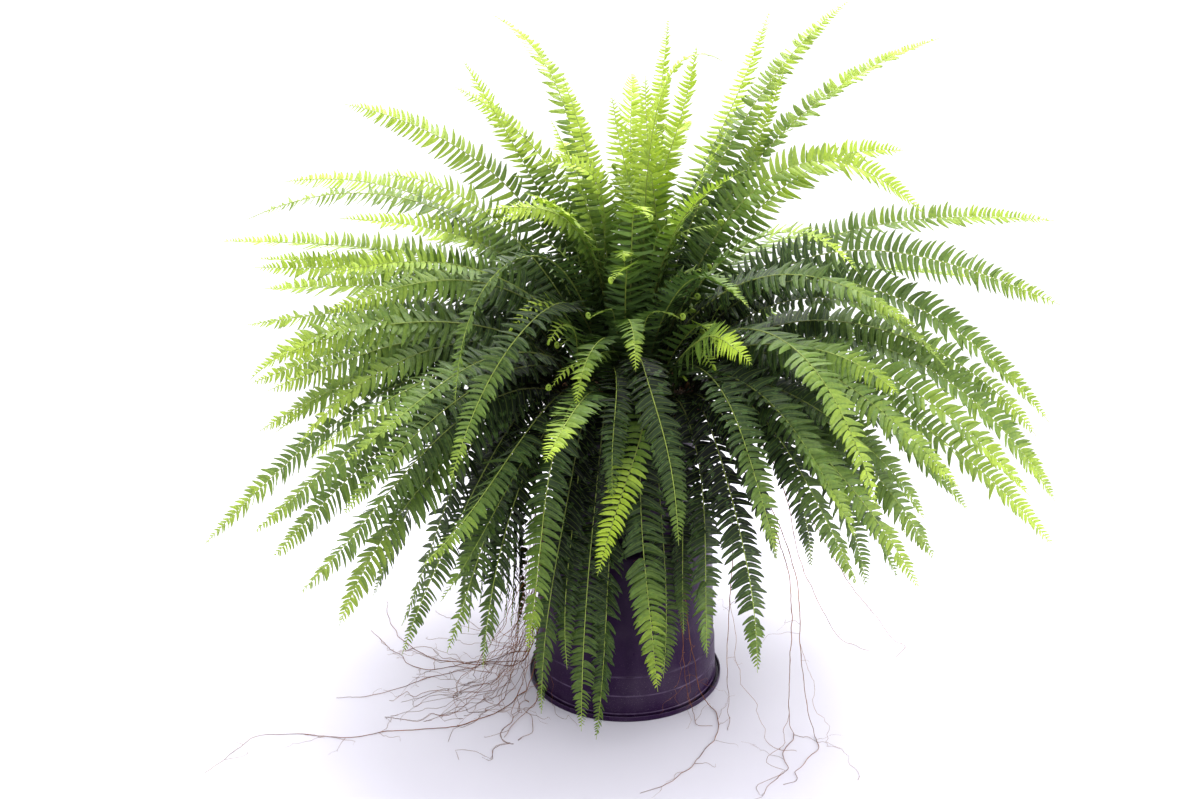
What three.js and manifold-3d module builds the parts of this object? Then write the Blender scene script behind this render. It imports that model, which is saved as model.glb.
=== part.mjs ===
// Potted fern: a large sword fern in a nursery container, which stands on the base of a bigger,
// upturned container. Millimetres, +Z up. The origin is on the floor, under the middle of the whole
// plant's box, and all pieces are first built round the containers' own axis. Azimuth 0 points to
// the front (-Y), 90 to the right (+X) and 180 to the back.
import * as THREE from 'three';
import { mergeVertices } from 'three/addons/utils/BufferGeometryUtils.js';
import Module from 'manifold-3d';

const wasm = await Module();
wasm.setup();

// Driving dimensions
const GAP = 0.3; // clearance left between pieces that touch
const SIDES = 36; // facets of everything that is round
const AXIS = new THREE.Vector3(-3, -95, 0); // where the containers' axis stands

// The lower container, 12 inches across its rim, stands upside down
const STAND = {
  height: 270, rimRadius: 152.5, baseRadius: 133.2, corner: 5, wall: 2.2, floor: 2.6,
  lipDrop: 8.5, lipWall: 2.2, channel: 5, steps: [[72, 1.8], [40, 0.5], [10, 0.8]],
};

// The fern's own container, which stands on the lower one's base
const POT = {
  height: 214, rimRadius: 125, baseRadius: 95, corner: 6, wall: 2, floor: 2.5,
  lipDrop: 11, lipWall: 2.2, channel: 3, steps: [[54, 1.8]],
};

// Drain slots are cut through the corner between wall and base
const SLOT = { count: 6, width: 24, tall: 12 };

const SOIL = { belowRim: 11, mound: 7 }; // fill level under the rim, and how much the middle stands up
const CLUMP = { radius: 10, foot: 9, sunk: 12, proud: 15, sides: 6 }; // rhizome heads in the soil
const RUNNER = { radius: 0.9, sides: 3, footRadius: 3.4, footSunk: 9, footProud: 5 };
const FLOOR = 1; // height of a runner's middle where it lies on the floor

const POT_BOTTOM = STAND.height + GAP;
const SOIL_TOP = POT_BOTTOM + POT.height - SOIL.belowRim;
const ROOT_HEIGHT = SOIL_TOP + 4; // where the fronds leave their rhizome head

// A frond's rib and its leaflets
const RIB = { half: 1.5, deep: 2.4, tipScale: 0.45 };
const LEAFLET = { pitch: 114, bareLength: 0.2, forward: 0.62, droop: 0.10 };

// Colours
const PLASTIC = { color: 0x2a1d36, roughness: 0.42, metalness: 0 };
const POTTING_MIX = { color: 0x3a2618, roughness: 1, metalness: 0 };
const LEAF_GREEN = { color: 0x4f8a1f, roughness: 0.55, metalness: 0 };
const STOLON = { color: 0x7a5636, roughness: 0.8, metalness: 0 };

// The fronds, in clumps that each grow from one rhizome head. A clump's place is its distance from
// the middle and its azimuth. A frond is its tip's azimuth, reach and height, then the angles at
// which it rises and ends; last come what makes it differ: full, the length of its arch's handles,
// bow, how far it bends sideways, half, its half width, and roll, its turn about its own rib.
const CLUMPS = [
  { at: [95, -76], fronds: [
    [-76, 635, 300, 50, -45, { roll: 24 }],
    [-75, 395, 190, 60, -70, { full: 0.45, roll: 12 }],
    [-84, 545, 440, 54, -30, { roll: 30 }],
    [-81, 526, 514, 66, -22, { full: 0.43, roll: 30 }],
  ] },
  { at: [95, -60], fronds: [
    [-69, 545, 300, 50, -42, { roll: 20 }],
    [-56, 392, 205, 54, -64, { full: 0.5 }],
    [-64, 578, 370, 58, -36, { roll: 20 }],
  ] },
  { at: [95, -44], fronds: [
    [-52, 506, 257, 50, -58, { half: 43, roll: 12 }],
    [-50, 418, 186, 58, -63, { half: 33 }],
    [-54, 553, 314, 51, -40, { roll: 12 }],
  ] },
  { at: [95, -28], fronds: [
    [-39, 400, 215, 58, -64, { half: 41 }],
    [-33, 372, 190, 52, -80, { full: 0.45, half: 39 }],
    [-35, 440, 322, 50, -35, { full: 0.36, half: 40, roll: -8 }],
  ] },
  { at: [95, -12], fronds: [
    [-27, 276, 75, 62, -82, { full: 0.5, bow: 8, half: 36 }],
    [-20, 255, 145, 62, -86, { full: 0.5, bow: -8, half: 36 }],
    [-15, 260, 48, 64, -84, { full: 0.5, bow: 8, half: 38 }],
  ] },
  { at: [95, 5], fronds: [
    [-11, 240, 24, 65, -88, { full: 0.52, bow: 18, half: 32 }],
    [10, 250, 112, 60, -80, { full: 0.5, bow: -13, half: 38 }],
    [15, 205, 105, 64, -88, { full: 0.52, half: 38 }],
  ] },
  { at: [95, 22], fronds: [
    [23, 210, 176, 52, -88, { full: 0.52, half: 27 }],
    [27, 252, 156, 60, -82, { full: 0.52, bow: 10, half: 38 }],
  ] },
  { at: [95, 38], fronds: [
    [31, 350, 176, 60, -68, { full: 0.45, bow: 10, half: 38 }],
    [42, 312, 315, 64, -78, { full: 0.5, half: 36 }],
  ] },
  { at: [95, 54], fronds: [
    [50, 512, 322, 54, -50, { roll: -12 }],
    [56, 406, 272, 57, -80, { full: 0.48, roll: -10 }],
    [49, 342, 300, 58, -84, { full: 0.56, half: 36 }],
    [45, 440, 318, 74, -58, { full: 0.44, half: 38, roll: -10 }],
    [58, 480, 390, 54, -56, { roll: -18 }],
  ] },
  { at: [95, 71], fronds: [
    [69, 640, 336, 52, -44, { half: 42, roll: -26 }],
    [66, 480, 300, 56, -58, { roll: -20 }],
    [73, 420, 230, 58, -68, { full: 0.45, roll: -15 }],
    [68, 601, 412, 50, -46, { full: 0.44, half: 44, roll: -30 }],
  ] },
  { at: [95, 90], fronds: [
    [76, 632, 372, 52, -60, { full: 0.45, half: 39, roll: -22 }],
    [86, 520, 300, 54, -52, { roll: -28 }],
    [90, 434, 240, 48, -76, { full: 0.48, roll: -15 }],
    [80, 600, 452, 64, -52, { full: 0.44, half: 44, roll: -34 }],
  ] },
  { at: [65, -88], fronds: [
    [-85, 552, 512, 56, -24, { roll: 32 }],
    [-94, 570, 572, 56, -10, { roll: 34 }],
    [-100, 560, 610, 60, -8, { roll: 36 }],
    [-105, 592, 640, 62, -2, { roll: 24 }],
    [-88, 538, 680, 64, 0, { full: 0.5, roll: 34 }],
  ] },
  { at: [65, -64], fronds: [
    [-74, 492, 450, 64, -50, { full: 0.45, roll: 22 }],
    [-60, 505, 480, 60, -34, { roll: 18 }],
    [-72, 520, 590, 62, -20, { roll: 28 }],
    [-74, 550, 558, 56, -42, { full: 0.38, roll: 30 }],
  ] },
  { at: [65, -40], fronds: [
    [-35, 478, 390, 68, -14, { full: 0.36, half: 44, roll: -12 }],
    [-50, 500, 430, 60, -40, { full: 0.45, roll: 12 }],
    [-46, 520, 520, 62, -28, { full: 0.45, roll: 15 }],
  ] },
  { at: [65, -16], fronds: [
    [-24, 344, 218, 64, -86, { full: 0.58, half: 38 }],
    [-16, 400, 535, 44, -18, { half: 36 }],
    [-5, 260, 424, 75, -88, { full: 0.8, half: 30 }],
  ] },
  { at: [65, 8], fronds: [
    [13, 298, 370, 76, -80, { full: 0.85, bow: -16, half: 36 }],
    [-8, 314, 334, 70, -62, { bow: 36, full: 0.56, half: 38 }],
  ] },
  { at: [65, 32], fronds: [
    [25, 365, 648, 52, -20, { half: 42 }],
    [30, 391, 380, 66, -72, { full: 0.6 }],
    [42, 450, 400, 60, -60, { full: 0.48 }],
  ] },
  { at: [65, 56], fronds: [
    [42, 480, 458, 66, -70, { full: 0.6 }],
    [52, 450, 585, 58, -26, { roll: -24 }],
    [60, 520, 440, 60, -46, { full: 0.45, roll: -15 }],
  ] },
  { at: [65, 80], fronds: [
    [79, 614, 480, 72, -50, { full: 0.55, half: 44, roll: -38 }],
    [84, 619, 639, 66, -23, { full: 0.52, half: 46, roll: -42 }],
    [74, 470, 560, 64, -50, { full: 0.5, half: 36, roll: -20 }],
  ] },
  { at: [36, -100], fronds: [
    [-107, 665, 657, 66, -2, { roll: 10 }],
    [-98, 570, 724, 70, -26, { full: 0.45, roll: 20 }],
    [-84, 410, 760, 70, 4, { full: 0.46, half: 44, roll: 38 }],
    [-112, 574, 746, 64, -13, { full: 0.42, roll: 25 }],
  ] },
  { at: [36, -55], fronds: [
    [-40, 361, 571, 80, -76, { full: 0.85, half: 32 }],
    [-33, 430, 495, 76, -50, { full: 0.7 }],
    [-68, 440, 715, 70, -10, { full: 0.42, roll: 28 }],
    [-68, 450, 660, 70, -22, { full: 0.45, roll: 25 }],
    [-92, 352, 809, 74, 0, { full: 0.36, half: 44, roll: 40 }],
  ] },
  { at: [36, -10], fronds: [
    [-16, 260, 560, 74, -46, { full: 0.6, half: 32 }],
    [2, 230, 600, 75, -50, { full: 0.6, half: 30 }],
  ] },
  { at: [36, 35], fronds: [
    [31, 300, 700, 72, -20, { full: 0.5, half: 34 }],
    [60, 356, 721, 78, -50, { full: 0.45, roll: -15 }],
    [66, 430, 643, 70, -34, { full: 0.5, roll: -20 }],
  ] },
  { at: [36, 80], fronds: [
    [95, 436, 742, 76, -44, { full: 0.6, roll: -30 }],
    [99, 650, 716, 68, -8, { roll: -15 }],
    [104, 423, 822, 70, -10, { full: 0.4, half: 46, roll: -40 }],
  ] },
  { at: [36, 125], fronds: [
    [116, 532, 966, 74, 10, { roll: -15 }],
    [130, 450, 1014, 76, 22, { full: 0.38, roll: -20 }],
    [120, 267, 938, 66, 70, { full: 0.36, half: 36, roll: -25 }],
  ] },
  { at: [36, 170], fronds: [
    [147, 420, 990, 66, 50, { full: 0.38 }],
    [168, 320, 985, 76, 50, { full: 0.36, half: 32 }],
    [165, 420, 800, 76, -10, { full: 0.45 }],
    [178, 300, 900, 80, 10, { half: 36 }],
  ] },
  { at: [36, 215], fronds: [
    [195, 420, 760, 74, -16, { full: 0.45 }],
    [220, 322, 1000, 80, 14],
    [240, 295, 908, 80, 14, { half: 38, roll: 14 }],
    [246, 262, 955, 82, 55, { full: 0.3, roll: 30 }],
    [255, 430, 890, 76, 8, { roll: 45 }],
  ] },
  { at: [13, 180], fronds: [
    [-170, 132, 900, 84, 60, { full: 0.42, bow: -24, half: 48 }],
    [146, 185, 970, 79, 60, { half: 39 }],
    [172, 95, 820, 84, 70, { full: 0.38, half: 44 }],
  ] },
  { at: [13, 60], fronds: [
    [78, 150, 900, 81, 60, { full: 0.38, half: 39 }],
    [62, 180, 840, 78, 30, { full: 0.42, half: 42 }],
    [110, 141, 965, 80, -30, { full: 0.36, half: 26 }],
    [165, 100, 935, 82, 62, { full: 0.42, bow: -27, half: 44 }],
  ] },
  { at: [13, -60], fronds: [
    [-94, 110, 890, 82, 62, { full: 0.38, half: 44 }],
    [-58, 170, 810, 78, 20, { full: 0.42, half: 42 }],
    [-90, 132, 829, 66, -10, { full: 0.48, roll: 20 }],
    [-80, 205, 745, 74, -25, { full: 0.55, roll: 30 }],
    [-140, 150, 935, 80, 50, { full: 0.38, half: 33 }],
    [-62, 229, 788, 80, -5, { full: 0.5, roll: 25 }],
  ] },
];

// The far side's clumps follow a rule: every clump of a ring has the same set of fronds, turned to
// its place, and each frond's reach, height and azimuth wander by these spans
const FAR_RINGS = [
  { radius: 95, first: 110, step: 24.7, count: 7, fronds: [
    [-6, 540, 300, 52, -48],
    [3, 405, 200, 60, -68, { full: 0.45 }],
    [10, 550, 395, 51, -38],
  ] },
  { radius: 65, first: 105, step: 26, count: 6, fronds: [
    [-5, 555, 485, 60, -34],
    [9, 595, 592, 60, -16],
  ] },
];
const WANDER = { azimuth: 4, reach: 50, height: 40 };
const GOLDEN = 0.618034;

// The runners: thin brown stolons that climb over the container's rim, hang down and lie on the
// floor. A bundle starts at one foot in the soil, at an azimuth close inside the wall, and each of
// its runners passes through the points listed for it, as azimuth, radius and height.
const RUNNER_FOOT_RADIUS = 110;
const RUNNERS = [
  { name: 'runners_left', azimuth: -89, routes: [
    [[-92, 138, 440], [-95, 139, 275], [-102, 148, 80], [-108, 160, 12], [-110, 168, FLOOR],
      [-91, 249, FLOOR], [-84, 327, FLOOR], [-79, 391, FLOOR], [-79, 461, FLOOR]],
    [[-89, 138, 440], [-91, 140, 275], [-96, 148, 80], [-100, 160, 12], [-99, 168, FLOOR],
      [-95, 248, FLOOR], [-90, 321, FLOOR], [-101, 397, FLOOR], [-106, 439, FLOOR]],
    [[-86, 138, 440], [-87, 140, 275], [-91, 150, 80], [-92, 165, 12], [-93, 180, FLOOR], [-97, 320, FLOOR],
      [-107, 396, FLOOR], [-119, 471, FLOOR]],
  ] },
  { name: 'runners_front_left', azimuth: -68, routes: [
    [[-68, 138, 440], [-68, 139, 275], [-69, 148, 80], [-69, 160, 12], [-67, 168, FLOOR], [-57, 248, FLOOR],
      [-58, 316, FLOOR], [-63, 384, FLOOR], [-65, 465, FLOOR], [-69, 524, FLOOR], [-71, 582, FLOOR],
      [-67, 640, FLOOR], [-65, 673, FLOOR]],
    [[-66, 138, 440], [-64, 139, 275], [-60, 148, 80], [-57, 160, 12], [-55, 168, FLOOR], [-50, 210, FLOOR],
      [-43, 268, FLOOR]],
  ] },
  { name: 'runners_front_right', azimuth: 30, routes: [
    [[31, 138, 440], [32, 139, 275], [34, 150, 130], [36, 158, 43], [38, 163, 10], [38, 168, FLOOR],
      [34, 195, FLOOR], [38, 208, FLOOR]],
    [[33, 138, 440], [36, 140, 275], [44, 150, 80], [49, 162, 12], [50, 172, FLOOR], [44, 205, FLOOR],
      [23, 265, FLOOR], [10, 319, FLOOR], [3, 336, FLOOR]],
  ] },
  { name: 'runners_right', azimuth: 46, routes: [
    [[50, 180, 450], [51, 220, 405], [51, 262, 350], [52, 290, 285], [53, 302, 89], [54, 305, 12],
      [54, 309, FLOOR], [52, 319, FLOOR], [46, 325, FLOOR], [38, 367, FLOOR], [33, 372, FLOOR],
      [30, 386, FLOOR]],
    [[52, 180, 450], [53, 222, 405], [53, 266, 350], [53, 298, 285], [54, 319, 118], [56, 335, 12],
      [56, 340, FLOOR], [54, 355, FLOOR], [41, 374, FLOOR], [38, 390, FLOOR], [35, 388, FLOOR]],
    [[49, 155, 450], [51, 185, 400], [52, 194, 330], [52, 195, 67], [50, 206, 10], [46, 218, FLOOR],
      [41, 234, FLOOR]],
  ] },
  { name: 'runners_far_right', azimuth: 80, routes: [
    [[84, 180, 440], [88, 235, 340], [90, 272, 199], [94, 296, 137], [99, 335, 59], [102, 368, 8],
      [102, 378, FLOOR], [98, 405, FLOOR]],
    [[80, 180, 440], [84, 250, 340], [89, 310, 230], [90, 359, 145], [94, 403, 83], [99, 452, 10],
      [100, 462, FLOOR], [97, 460, FLOOR], [95, 440, FLOOR]],
  ] },
];

const radians = THREE.MathUtils.degToRad;

// A level unit vector at an azimuth.
function compass(azimuth) {
  return new THREE.Vector3(Math.sin(radians(azimuth)), -Math.cos(radians(azimuth)), 0);
}

// Turns a closed geometry into a solid.
function solid(geometry) {
  const bare = geometry.clone();
  bare.deleteAttribute('normal');
  bare.deleteAttribute('uv');
  const merged = mergeVertices(bare, 1e-4);
  return new wasm.Manifold(new wasm.Mesh({
    numProp: 3,
    vertProperties: new Float32Array(merged.attributes.position.array),
    triVerts: new Uint32Array(merged.index.array),
  }));
}

// Gives a solid back as a named mesh with its material.
function mesh(name, body, look) {
  const { vertProperties, triVerts } = body.getMesh();
  const geometry = new THREE.BufferGeometry();
  geometry.setAttribute('position', new THREE.BufferAttribute(vertProperties, 3));
  geometry.setIndex(new THREE.BufferAttribute(triVerts, 1));
  const named = new THREE.Mesh(geometry, new THREE.MeshStandardMaterial(look));
  named.name = name;
  return named;
}

// Turns a profile of [radius, height] points about the axis. It runs from the axis, up or round the
// outside, and back to the axis.
function turned(profile, sides = SIDES) {
  const points = profile.map(([radius, height]) => new THREE.Vector2(radius, height));
  const geometry = new THREE.LatheGeometry(points, sides);
  return geometry.rotateX(Math.PI / 2);
}

// The radius of a container's wall outside, at a height above its base.
function wallRadius(size, height) {
  const top = size.rimRadius - size.lipWall - size.channel;
  const stepped = size.steps.reduce((sum, [, out]) => sum + out, 0);
  const slope = (top - stepped - size.baseRadius) / (size.height - size.corner);
  const passed = size.steps.filter(([down]) => height > size.height - down);
  const out = passed.reduce((sum, [, step]) => sum + step, 0);
  return size.baseRadius + slope * (height - size.corner) + out;
}

// The profile of a nursery container that stands on its base: a thin tapered wall with stacking
// steps, and at the rim a flange whose skirt turns down round it.
function containerProfile(size) {
  const { height, rimRadius, corner, wall, floor, lipDrop, lipWall, steps } = size;
  const outer = [[0, 0], [size.baseRadius - corner, 0], [size.baseRadius, corner]];
  for (const [down] of steps) {
    const at = height - down;
    outer.push([wallRadius(size, at), at], [wallRadius(size, at + 0.01), at + 1.2]);
  }
  outer.push([wallRadius(size, height), height - lipWall]);
  const skirt = rimRadius - lipWall;
  const lip = [
    [skirt, height - lipWall], [skirt, height - lipDrop],
    [rimRadius, height - lipDrop], [rimRadius, height],
  ];
  const [largeStep] = steps;
  const bend = height - largeStep[0];
  const inner = [
    [wallRadius(size, height) - wall, height],
    [wallRadius(size, bend + 0.01) - wall, bend + 1.2 + wall],
    [wallRadius(size, bend) - wall, bend + wall],
    [size.baseRadius - wall, floor + corner],
    [size.baseRadius - corner, floor],
    [0, floor],
  ];
  return [...outer, ...lip, ...inner];
}

// Cuts the drain slots through the corner between a container's wall and base.
function drained(body, size) {
  let result = body;
  for (let index = 0; index < SLOT.count; index += 1) {
    const azimuth = (index + 0.5) * 360 / SLOT.count;
    const slot = new THREE.BoxGeometry(SLOT.width, SLOT.tall, SLOT.tall);
    slot.rotateX(Math.PI / 4);
    const place = compass(azimuth).multiplyScalar(size.baseRadius);
    slot.rotateZ(radians(azimuth));
    slot.translate(place.x, place.y, 0);
    result = result.subtract(solid(slot));
  }
  return result;
}

// The lower container, turned over so that its rim is on the floor.
function makeStand() {
  const upright = drained(solid(turned(containerProfile(STAND))), STAND);
  return upright.rotate([180, 0, 0]).translate([0, 0, STAND.height]);
}

// The fern's own container.
function makePot() {
  return drained(solid(turned(containerProfile(POT))), POT).translate([0, 0, POT_BOTTOM]);
}

// The points of a clump's rhizome head, larger by the clearance when it is the hole for it.
function headProfile(clearance) {
  const base = -CLUMP.sunk - clearance;
  if (clearance > 0) {
    const top = SOIL.mound + CLUMP.sunk;
    return [[0, base], [CLUMP.radius + clearance, base], [CLUMP.radius + clearance, top], [0, top]];
  }
  return [[0, base], [CLUMP.foot, base], [CLUMP.radius, 3], [0, CLUMP.proud]];
}

// The potting mix: it fills the container up to its level, and has a plain hole for every clump.
function makeSoil(clumps) {
  const bottom = POT.floor + GAP;
  const top = POT.height - SOIL.belowRim;
  const [largeStep] = POT.steps;
  const bend = POT.height - largeStep[0];
  const inside = (height) => wallRadius(POT, height) - POT.wall - 2 * GAP;
  const profile = [
    [0, bottom], [POT.baseRadius - POT.corner - GAP, bottom],
    [POT.baseRadius - POT.wall - 2 * GAP, bottom + POT.corner],
    [inside(bend), bend + POT.wall], [inside(bend + 0.01), bend + 1.2 + POT.wall + GAP],
    [inside(top), top - 3], [inside(top) - 5, top], [60, top + SOIL.mound * 0.6], [0, top + SOIL.mound],
  ];
  let body = solid(turned(profile)).translate([0, 0, POT_BOTTOM]);
  for (const clump of clumps) {
    const hole = solid(turned(headProfile(GAP), CLUMP.sides));
    body = body.subtract(hole.translate(clumpPlace(clump).toArray()));
  }
  for (const { azimuth } of RUNNERS) {
    const place = polar([azimuth, RUNNER_FOOT_RADIUS, SOIL_TOP]);
    body = body.subtract(solid(turned(footProfile(GAP), CLUMP.sides)).translate(place.toArray()));
  }
  return body;
}

// Where a clump's rhizome head stands on the soil.
function clumpPlace(clump) {
  return compass(clump.at[1]).multiplyScalar(clump.at[0]).setZ(SOIL_TOP);
}

// Every clump: those listed, and those of the far side, worked out ring by ring.
function allClumps() {
  const clumps = [...CLUMPS];
  let number = 0;
  for (const ring of FAR_RINGS) {
    for (let index = 0; index < ring.count; index += 1) {
      const middle = ring.first + ring.step * index;
      const fronds = ring.fronds.map(([turn, reach, height, rise, hang, more]) => {
        number += 1;
        const near = ((number * GOLDEN) % 1) - 0.5;
        const far = ((number * GOLDEN * GOLDEN * 5) % 1) - 0.5;
        return [
          middle + turn + WANDER.azimuth * near, reach + WANDER.reach * far,
          height + WANDER.height * near, rise, hang, more,
        ];
      });
      clumps.push({ at: [ring.radius, middle], fronds });
    }
  }
  return clumps;
}

// A frond's rib: a cubic curve from its clump to its tip, in the upright plane through both, and
// bowed sideways in the middle.
function ribCurve(clump, [azimuth, reach, height, rise, hang, more = {}]) {
  const { full = 0.4, bow = 0 } = more;
  const start = compass(clump.at[1]).multiplyScalar(clump.at[0]).setZ(ROOT_HEIGHT);
  const tip = compass(azimuth).multiplyScalar(reach).setZ(height);
  const level = tip.clone().sub(start).setZ(0).normalize();
  const handle = full * tip.distanceTo(start);
  const lift = (angle, along) => level.clone().multiplyScalar(Math.cos(radians(angle)) * along)
    .setZ(Math.sin(radians(angle)) * along);
  const side = new THREE.Vector3(-level.y, level.x, 0);
  const leaving = start.clone().add(lift(rise, handle));
  const arriving = tip.clone().sub(lift(hang, handle));
  // the bow 4 t (1 - t) is itself a cubic whose two middle points move by 4 / 3
  leaving.addScaledVector(side, bow * 4 / 3);
  arriving.addScaledVector(side, bow * 4 / 3);
  return { curve: new THREE.CubicBezierCurve3(start, leaving, arriving, tip), side };
}

// How long the leaflets are at a share of the rib's length: short at the foot, full from a third of
// the way, and tapering to the tip.
function leafletReach(share) {
  const grown = THREE.MathUtils.clamp((share - 0.1) / 0.3, 0, 1);
  return (0.35 + 0.65 * grown * (2 - grown)) * (1 - share ** 3.2) ** 0.75;
}

// One frond: a thin arched blade that is cut to the rib, with a leaflet to each side of every
// stretch of rib. The rib is a slim keel with its edge down, and each leaflet a flat wedge from it.
function frondGeometry(clump, frond) {
  const { half = 41, roll = 0 } = frond[5] ?? {};
  const { curve, side } = ribCurve(clump, frond);
  const length = curve.getLength();
  const bare = LEAFLET.bareLength;
  const pairs = Math.round(length * (1 - bare) / LEAFLET.pitch);
  const frame = (share) => {
    const along = curve.getTangentAt(share);
    const over = new THREE.Vector3().crossVectors(side.clone().negate(), along).normalize();
    const right = new THREE.Vector3().crossVectors(along, over);
    const across = right.clone().multiplyScalar(Math.cos(radians(roll)));
    across.addScaledVector(over, Math.sin(radians(roll)));
    const up = new THREE.Vector3().crossVectors(across, along);
    return { point: curve.getPointAt(share), along, across, up };
  };
  const corners = [];
  const put = (vector) => corners.push(vector) - 1;
  const section = (share) => {
    const { point, across, up } = frame(share);
    const scale = 1 - (1 - RIB.tipScale) * share;
    const left = put(point.clone().addScaledVector(across, -RIB.half * scale));
    const right = put(point.clone().addScaledVector(across, RIB.half * scale));
    const keel = put(point.clone().addScaledVector(up, -RIB.deep * scale));
    return { left, right, keel };
  };
  const stretches = Array.from({ length: pairs + 1 }, (_, index) => bare + (0.985 - bare) * index / pairs);
  const shares = [0, ...stretches];
  const sections = shares.map(section);
  const faces = [[sections[0].left, sections[0].keel, sections[0].right]];
  for (let index = 0; index + 1 < sections.length; index += 1) {
    const near = sections[index];
    const next = sections[index + 1];
    faces.push([near.left, near.right, next.right], [near.left, next.right, next.left]);
    if (index === 0) {
      faces.push([near.right, near.keel, next.keel], [near.right, next.keel, next.right]);
      faces.push([near.keel, near.left, next.left], [near.keel, next.left, next.keel]);
    } else {
      const share = THREE.MathUtils.lerp(shares[index], shares[index + 1], LEAFLET.forward);
      const reach = half * leafletReach(THREE.MathUtils.lerp(shares[index], shares[index + 1], 0.5));
      const { point, across, up } = frame(share);
      const low = point.clone().addScaledVector(up, -reach * LEAFLET.droop);
      const right = put(low.clone().addScaledVector(across, reach));
      const left = put(low.clone().addScaledVector(across, -reach));
      faces.push([near.right, right, next.right], [near.right, near.keel, right]);
      faces.push([near.keel, next.keel, right], [next.keel, next.right, right]);
      faces.push([near.left, next.left, left], [near.left, left, near.keel]);
      faces.push([near.keel, left, next.keel], [next.keel, left, next.left]);
    }
  }
  const last = sections[sections.length - 1];
  const end = put(curve.getPointAt(1));
  faces.push([last.left, last.right, end], [last.right, last.keel, end], [last.keel, last.left, end]);
  const geometry = new THREE.BufferGeometry();
  const numbers = corners.flatMap((corner) => corner.toArray());
  geometry.setAttribute('position', new THREE.Float32BufferAttribute(numbers, 3));
  geometry.setIndex(faces.flat());
  return geometry;
}

// A clump: its rhizome head with its fronds fused to it.
function makeClump(clump) {
  let body = solid(turned(headProfile(0), CLUMP.sides)).translate(clumpPlace(clump).toArray());
  for (const frond of clump.fronds) {
    body = body.add(solid(frondGeometry(clump, frond)));
  }
  return body;
}

// A runner's route, which passes its points at even steps of its parameter, so that a tube made
// with one step a point keeps them all.
class Route extends THREE.CatmullRomCurve3 {
  getPointAt(share, target) {
    return this.getPoint(share, target);
  }

  getTangentAt(share, target) {
    return this.getTangent(share, target);
  }
}

// A level place and a height, from an azimuth, a radius and the height.
function polar([azimuth, radius, height]) {
  return compass(azimuth).multiplyScalar(radius).setZ(height);
}

// The points by which a runner climbs from its foot over the container's rim, at its own azimuth.
function overTheRim(foot, azimuth) {
  const rim = POT_BOTTOM + POT.height;
  return [
    [foot, RUNNER_FOOT_RADIUS, SOIL_TOP + 2],
    [azimuth, RUNNER_FOOT_RADIUS + 2, rim + 5],
    [azimuth, POT.rimRadius - 2, rim + 9],
    [azimuth, POT.rimRadius + 7, rim + 3],
  ];
}

// The profile of a bundle's foot, or of the hole for it.
function footProfile(clearance) {
  const radius = RUNNER.footRadius + clearance;
  const top = clearance > 0 ? SOIL.mound + RUNNER.footSunk : RUNNER.footProud;
  const base = -RUNNER.footSunk - clearance;
  return [[0, base], [radius, base], [radius, top], [0, top]];
}

// A bundle of runners, fused at its foot.
function makeRunners({ azimuth, routes }) {
  const place = polar([azimuth, RUNNER_FOOT_RADIUS, SOIL_TOP]);
  let body = solid(turned(footProfile(0), CLUMP.sides)).translate(place.toArray());
  const section = new THREE.Shape();
  for (let corner = 0; corner < RUNNER.sides; corner += 1) {
    const angle = corner * 2 * Math.PI / RUNNER.sides;
    const move = corner === 0 ? 'moveTo' : 'lineTo';
    section[move](RUNNER.radius * Math.cos(angle), RUNNER.radius * Math.sin(angle));
  }
  for (const route of routes) {
    const points = [...overTheRim(azimuth, route[0][0]), ...route].map(polar);
    const path = new Route(points, false, 'centripetal');
    const options = { steps: points.length - 1, bevelEnabled: false, extrudePath: path };
    const tube = new THREE.ExtrudeGeometry(section, options);
    body = body.add(solid(tube));
  }
  return body;
}

const fern = new THREE.Group();
fern.position.copy(AXIS);
const clumps = allClumps();
fern.add(mesh('stand_pot', makeStand(), PLASTIC));
fern.add(mesh('grow_pot', makePot(), PLASTIC));
fern.add(mesh('soil', makeSoil(clumps), POTTING_MIX));
clumps.forEach((clump, index) => {
  const name = `frond_clump_${String(index + 1).padStart(2, '0')}`;
  fern.add(mesh(name, makeClump(clump), LEAF_GREEN));
});
for (const bundle of RUNNERS) {
  fern.add(mesh(bundle.name, makeRunners(bundle), STOLON));
}

export default fern;
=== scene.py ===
"""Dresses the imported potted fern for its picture.

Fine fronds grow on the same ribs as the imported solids, the containers get their rolled lips, steps
and thin walls, and the potting mix, the runners with their roots, the light and the camera follow.
"""
import logging
import math
from dataclasses import dataclass, field, fields, replace
from enum import Enum

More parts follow.
